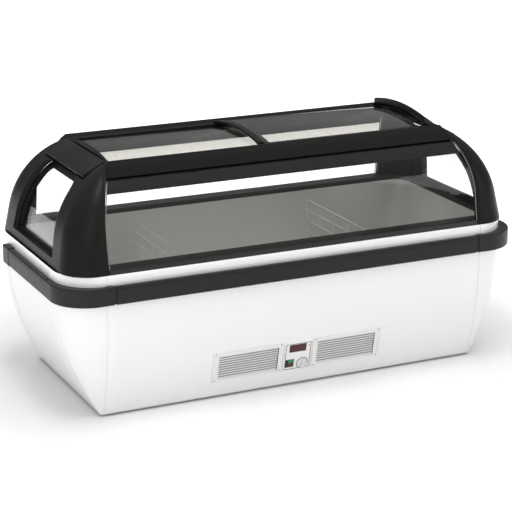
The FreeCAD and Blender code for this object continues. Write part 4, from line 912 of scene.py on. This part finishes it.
LOUVRE_TOP = LOUVRE_V + LOUVRE_COUNT * LOUVRE_PITCH - 4.5
rim, opening = (*GRILLE_X, 0.0, GRILLE_TALL), (*LOUVRE_X, LOUVRE_V, LOUVRE_TOP)
surround = np.stack([plate_loop(*box, out, inset, radius) for box, out, inset, radius in (
    (rim, -PLATE_BACK, 0, 4.0), (rim, -0.4, 0, 4.0), (rim, 0.0, 0.6, 4.0),
    (opening, 0.0, -0.8, 0.9), (opening, -0.5, 0, 0.9), (opening, -PLATE_BACK, 0, 0.9))])
BLADE = ((-0.1, 0.0), (0.3, 0.6), (0.3, 2.6), (-0.5, 3.4), (-10.0, 8.6), (-10.8, 8.4), (-2.4, 2.2), (-1.6, 0.0))


def blades(x0, x1):
    """Louvres from x0 to x1: a rounded lip, then a slat that slopes up and in."""
    made = []
    for i in range(LOUVRE_COUNT):
        v0 = LOUVRE_V + i * LOUVRE_PITCH - (4.4 if i else 0.1)
        loop = np.array(BLADE)
        loop = np.stack([loop[:, 0], np.minimum(v0 + loop[:, 1], LOUVRE_TOP + 1.0)], -1)
        made.append(tube([np.stack(on_plate(x, loop[:, 0], loop[:, 1]), -1) for x in np.linspace(x0, x1, 5)]))
    return made


plate_white = Finish("plate_white", (0.80, 0.80, 0.79), 0.42)
plate_white.grain(0.12, 0.36, 60.0)
# Painted shade: the grilles turn from white to dark grey as they lie 0.6 to 5 mm below the plate's face, for
# the shade in the louvres' recesses.
sunk = ((plate_white.axis("Y") * 1000.0 - SHIFT_Y - PLATE_FOOT_Y) * math.cos(PLATE_LEAN)
        + (plate_white.axis("Z") * 1000.0 - SHIFT_Z - PLATE_FOOT_Z) * math.sin(PLATE_LEAN))
shade = plate_white.node("ShaderNodeMapRange", inputs={0: sunk, 1: 0.6, 2: 5.0, 3: 0.0, 4: 1.0})
plate_white.tint(shade, (0.80, 0.80, 0.79), (0.22, 0.22, 0.22))
for flip_x, side in SIDES:
    louvres = blades(83.5, 320.5) if flip_x else blades(79.5, 316.5)
    piece(f"{side}_louvres", "cabinet", plate_white, [f"{side}_grille"],
          [hoop(mirrored(surround, flip_x, False))]
          + [(mirrored(points, flip_x, False), faces) for points, faces in louvres], sharp=35)

plate_heads = [turned(DOME, lambda a, h, b, x=x, v=v: on_plate(x + a, h, v + b), 16)
               for x in (71.0, 333.0, -71.0, -333.0) for v in (5.5, 116.5)]
piece("plate_screws", "cabinet", screw_zinc, ["cover_screws"], plate_heads)
SCREW_Y, SCREW_Z = 132.0, 815.0
face_x = float(lean_and_arc(SCREW_Z, HOOD_END, WINDOW_DEPTH + 0.1))
below, above = (float(lean_and_arc(z, HOOD_END)) for z in (SCREW_Z - 1, SCREW_Z + 1))
tilt = math.atan2(below - above, 2.0)


def on_window(side, y, across, out, up):
    """Cabinet points on an end window's top bar: across it, out of it, and up along its slope."""
    x = side * (face_x + out * math.cos(tilt) - up * math.sin(tilt))
    return x, y + across, SCREW_Z + out * math.sin(tilt) + up * math.cos(tilt)


window_heads = [turned(DOME, lambda a, h, b, s=s, y=y: on_window(s, y, a, h, b), 16)
                for s in (-1, 1) for y in (-SCREW_Y, SCREW_Y)]
piece("window_screws", "cabinet", screw_dark, ["cover_screws"], window_heads)

SWITCH_X, SWITCH_V = (-47.8, -14.2), (13.7, 45.8)    # the control plate is open between these


def plate_lines(cuts):
    """Grid lines over the control plate, and the depth of each: the outer ones turn back over its rim."""
    low, high, rounding = cuts[0], cuts[-1], (PLATE_BACK, 0.6, 0.15, 0)
    lines = [low, low, low + 0.2, low + 0.8, *cuts[1:-1], high - 0.8, high - 0.2, high, high]
    return np.array(lines), np.array([*rounding, *[0] * (len(cuts) - 2), *rounding[::-1]])


xs, dx = plate_lines((-PANEL_X, *SWITCH_X, 0, 20, 40, PANEL_X))
vs, dv = plate_lines((0, *SWITCH_V, 60, 80, 100, PANEL_TALL))
panel_grid = np.stack(on_plate(xs[None, :], 0.2 - np.maximum(dx[None, :], dv[:, None]), vs[:, None]), -1)


def beyond_rockers(middle):
    """Leaves the control plate open round the rocker switches."""
    x, v = middle[:, 0], (middle[:, 2] - PLATE_FOOT_Z) / math.cos(PLATE_LEAN)
    return ~((x > SWITCH_X[0]) & (x < SWITCH_X[1]) & (v > SWITCH_V[0]) & (v < SWITCH_V[1]))


BORDER_X, BORDER_V, BORDER_MIDDLE = 50.0, 53.0, 57.5
LINE_HALF, RING_RADIUS = 1.3, 22.6
SPOT_X, SPOT_V, SPOT_RADIUS = 42.0, 97.0, 2.2
print_and_shade_white = Finish("print_and_shade_white", (0.84, 0.84, 0.83), 0.38)
across = print_and_shade_white.axis("X") * 1000.0
up = (print_and_shade_white.axis("Z") * 1000.0 - SHIFT_Z - PLATE_FOOT_Z) / math.cos(PLATE_LEAN)
# Painted shade: the dark line 2.6 mm wide round the plate's border stands in for the shade in the groove there.
border = across.maths("MAXIMUM", across.maths("ABSOLUTE", across) - BORDER_X,
                      up.maths("ABSOLUTE", up - BORDER_MIDDLE) - BORDER_V)
ring = ((across - KNOB_X) ** 2 + (up - KNOB_V) ** 2) ** 0.5 - RING_RADIUS
border, ring = (line.maths("ABSOLUTE", line) for line in (border, ring))
spot = ((across - SPOT_X) ** 2 + (up - SPOT_V) ** 2) ** 0.5 - SPOT_RADIUS
print_and_groove_shade = (1 - border.over(LINE_HALF)) + (1 - ring.over(LINE_HALF)) + (1 - spot.over(0.0))
print_and_shade_white.tint(print_and_groove_shade.maths("MINIMUM", print_and_groove_shade, 1.0), (0.84, 0.84, 0.83), (0.09, 0.09, 0.09))
piece("control_plate", "cabinet", print_and_shade_white, ["control_panel"],
      [thin_sheet(panel_grid, 2.6, beyond_rockers)])

display_red = Finish("display_red", (0.045, 0.006, 0.005), 0.22)
display_red.mottle((0.035, 0.005, 0.004), (0.085, 0.010, 0.008), 40.0, 2.0, stretch=(1, 1, 2))
BEZEL = 1.2
display_box = (DISPLAY_X[0] + BEZEL, DISPLAY_X[1] - BEZEL, DISPLAY_V[0] + BEZEL, DISPLAY_V[1] - BEZEL)
piece("display_lens", "cabinet", display_red, ["display_window"],
      [plate_block(*display_box, -2.5, 0.9, 0.5, 1.2)])
COLLAR_X, COLLAR_V = 17.2, 8.15  # half sizes of the collar round a rocker
bezel_black = Finish("bezel_black", (0.016, 0.016, 0.016), 0.35)
bezel_black.grain(0.12, 0.30, 200.0)


def collar(x0, x1, v0, v1, wall, low, high):
    """Rectangular ring on the plate with rounded front edges."""
    steps = ((0, low), (0, high - 0.4), (0.4, high), (wall - 0.4, high), (wall, high - 0.4), (wall, low))
    return hoop(np.stack([plate_loop(x0, x1, v0, v1, out, inset, 1.8) for inset, out in steps]))


piece("switch_collars", "cabinet", bezel_black, [],
      [collar(*DISPLAY_X, *DISPLAY_V, BEZEL, -0.2, 0.8)]
      + [collar(ROCKER_X - COLLAR_X, ROCKER_X + COLLAR_X, v - COLLAR_V, v + COLLAR_V, 1.7, -0.4, 1.5)
         for v in (GREEN_V, RED_V)])
paint(bezel_black, "switch_housing")

# ---------------------------------------------------------------- knob and rockers
# Thermostat knob of white plastic with a pointer bar, and two lit rocker switches with a black heel.
knob_white = Finish("knob_white", (0.70, 0.70, 0.69), 0.38)
knob_white.mottle((0.68, 0.68, 0.67), (0.72, 0.72, 0.71), 60.0)
knob_profile = ((17.2, 7.6), (18.2, 7.5), (18.9, 6.8), (20.0, 1.6), (20.0, 1.0))
GRIP = (KNOB_X - 4, KNOB_X + 4, KNOB_V - 17, KNOB_V + 17)
grip = [plate_loop(*GRIP, out, inset, 3.4) for inset, out in ((0, 5.0), (0, 15.0), (0.5, 16.2), (1.4, 17.0))]
piece("knob_cap", "thermostat_knob", knob_white, ["thermostat_knob"],
      [turned(knob_profile, lambda a, h, b: on_plate(KNOB_X + a, h, KNOB_V + b), 40), tube(grip)], sharp=35)
ROCKER_HALF, ROCKER_PIVOT, ROCKER_TILT = 14.5, 4.0, math.radians(7.0)


def rocker_cap(v):
    """Two faces that meet in a valley, tilted about the pivot under the plate to the side that is pressed."""
    half = ROCKER_HALF
    loop = rounded_loop([(-half, -6.0), (half, -6.0), (half, 2.4), (0, 1.2), (-half, 2.4)],
                        [0.5, 0.5, 1.2, 8, 1.2], 5)
    out = loop[:, 1] + ROCKER_PIVOT
    x = loop[:, 0] * math.cos(ROCKER_TILT) + out * math.sin(ROCKER_TILT)
    height = -loop[:, 0] * math.sin(ROCKER_TILT) + out * math.cos(ROCKER_TILT) - ROCKER_PIVOT
    rings = []
    for at, shrink in ((-6.0, 0.5), (-5.5, 0.0), (5.5, 0.0), (6.0, 0.5)):
        drawn = np.clip(x * (1 - shrink / half), -14.9, 14.9)
        rings.append(np.stack(on_plate(ROCKER_X + drawn, height - shrink, v + at), -1))
    return tube(rings)


HEEL_X = (-39.0, -36.5)          # the black heel of a rocker runs into its colour between these
for name, colour, glow, v in (("green", (0.01, 0.16, 0.07), (0.02, 0.26, 0.11), GREEN_V),
                              ("red", (0.08, 0.01, 0.01), (0.13, 0.012, 0.012), RED_V)):
    lens = Finish(f"rocker_{name}", colour, 0.25)
    heel = lens.node("ShaderNodeMapRange", {"interpolation_type": "SMOOTHSTEP"},
                     {0: lens.axis("X") * 1000.0, 1: HEEL_X[0], 2: HEEL_X[1], 3: 0.0, 4: 1.0})
    lens.tint(heel, (0.012, 0.012, 0.012), glow)
    piece(f"{name}_lens", f"{name}_rocker", lens, [f"{name}_rocker"],
          [rocker_cap(v)], sharp=30)

# ---------------------------------------------------------------- tub
# White lacquered aluminium liner with a fine stucco, foam behind it, and coated wire grids: one over each
# deep bay's floor, and one standing at each side of the step.
liner = Finish("liner_lacquer", (0.72, 0.72, 0.70), 0.42)
liner.mottle((0.70, 0.70, 0.68), (0.745, 0.745, 0.725), 4.0)
liner.grain(0.16, 0.34, 18.0)
liner.bump(liner.noise(260.0, 3.0), 0.35, 0.0006)
paint(liner, "inner_liner")
foam = Finish("foam_cream", (0.74, 0.66, 0.46), 0.95)
foam.mottle((0.70, 0.62, 0.42), (0.78, 0.70, 0.50), 40.0, 4.0)
paint(foam, "insulation_foam")
coil = Finish("coil_metal", (0.78, 0.78, 0.77), 0.4, Metallic=1.0)
coil.grain(0.2, 0.3, 60.0)
paint(coil, "evaporator_coil", "condenser")
steel = Finish("galvanised", (0.60, 0.61, 0.62), 0.45, Metallic=1.0)
steel.grain(0.25, 0.32, 24.0, 4.0)
paint(steel, "base_pan", "fan_shroud")

WIRE = 2.0                       # radius
CROSS_PITCH, LONG_PITCH = 38, 114
BAY_X, BAY_Y, STEP_Z = (414, 746.5), 294.9, (292, 510)
BAY_FLOOR, GRID_Z, DIVIDER_X = 100.2, 112, 374


def wire(start, end):
    """Round wire between two points: eight sides, square to its own run."""
    start, end = np.asarray(start, float), np.asarray(end, float)
    along = (end - start) / np.linalg.norm(end - start)
    side = np.cross(along, (0, 0, 1) if abs(along[2]) < 0.9 else (1, 0, 0))
    side /= np.linalg.norm(side)
    turn = np.linspace(0, 2 * math.pi, 8, endpoint=False)[:, None]
    ring = WIRE * (np.cos(turn) * side + np.sin(turn) * np.cross(along, side))
    return tube([start + ring, end + ring])


def wire_grid(a0, a1, b0, b1, place):
    """Border and long wires in one layer and closer cross wires above them; place sets a, b and height."""
    a0, a1, b0, b1 = a0 + WIRE, a1 - WIRE, b0 + WIRE, b1 - WIRE
    corners = ((a0, b0), (a1, b0), (a1, b1), (a0, b1))
    runs = [((*corners[i], WIRE), (*corners[j], WIRE)) for i, j in ((0, 1), (3, 2), (0, 3), (1, 2))]
    cross, long = int((a1 - a0 + 2 * WIRE) / CROSS_PITCH), int((b1 - b0 + 2 * WIRE) / LONG_PITCH)
    runs += [((a, b0, WIRE * 2), (a, b1, WIRE * 2)) for a in np.linspace(a0 - WIRE, a1 + WIRE, cross + 1)[1:-1]]
    runs += [((a0, b, WIRE), (a1, b, WIRE)) for b in np.linspace(b0 - WIRE, b1 + WIRE, long + 1)[1:-1]]
    return [wire(place(*p), place(*q)) for p, q in runs]


coated_wire = Finish("coated_wire", (0.78, 0.78, 0.77), 0.35)
coated_wire.grain(0.14, 0.28, 90.0)
floor_wires, divider_wires = [], []
for flip in (1, -1):
    floor_wires += wire_grid(*BAY_X, -BAY_Y, BAY_Y, lambda a, b, h, flip=flip: (flip * a, b, GRID_Z + h))
    floor_wires += [wire((flip * a, b, BAY_FLOOR), (flip * a, b, GRID_Z + WIRE))
                    for a in (BAY_X[0] + WIRE, BAY_X[1] - WIRE) for b in (WIRE - BAY_Y, BAY_Y - WIRE)]
    divider_wires += wire_grid(*STEP_Z, -BAY_Y, BAY_Y, lambda a, b, h, flip=flip: (flip * DIVIDER_X - h, b, a))
piece("floor_wires", "cabinet", coated_wire, ["floor_grids"], floor_wires, sharp=50)
piece("divider_wires", "cabinet", coated_wire, ["divider_grids"], divider_wires, sharp=50)

# ---------------------------------------------------------------- feet and machine bay
# Four plastic glide feet with a threaded stem, and behind the grilles the compressor on rubber blocks, the
# finned condenser and its fan.
foot_black = Finish("foot_black", (0.03, 0.03, 0.03), 0.6)
foot_black.grain(0.2, 0.5, 80.0)
foot_profile = ((21.5, -8.0), (23.2, -7.6), (24.0, -6.4), (23.4, -3.2), (14.0, -1.8), (10.0, -1.6), (10.0, 0.0))
feet = [turned(foot_profile, lambda a, h, b, x=x, y=y: (x + a, y + b, h), 32)
        for x in (-615.0, 615.0) for y in (-248.5, 248.5)]
piece("feet", "cabinet", foot_black, ["glide_feet"], feet)
can_black = Finish("can_black", (0.018, 0.018, 0.019), 0.32)
can_black.grain(0.15, 0.25, 30.0, 3.0)
paint(can_black, "compressor")
paint(foot_black, "compressor_mounts")
paint(runner_black, "fan_blades")
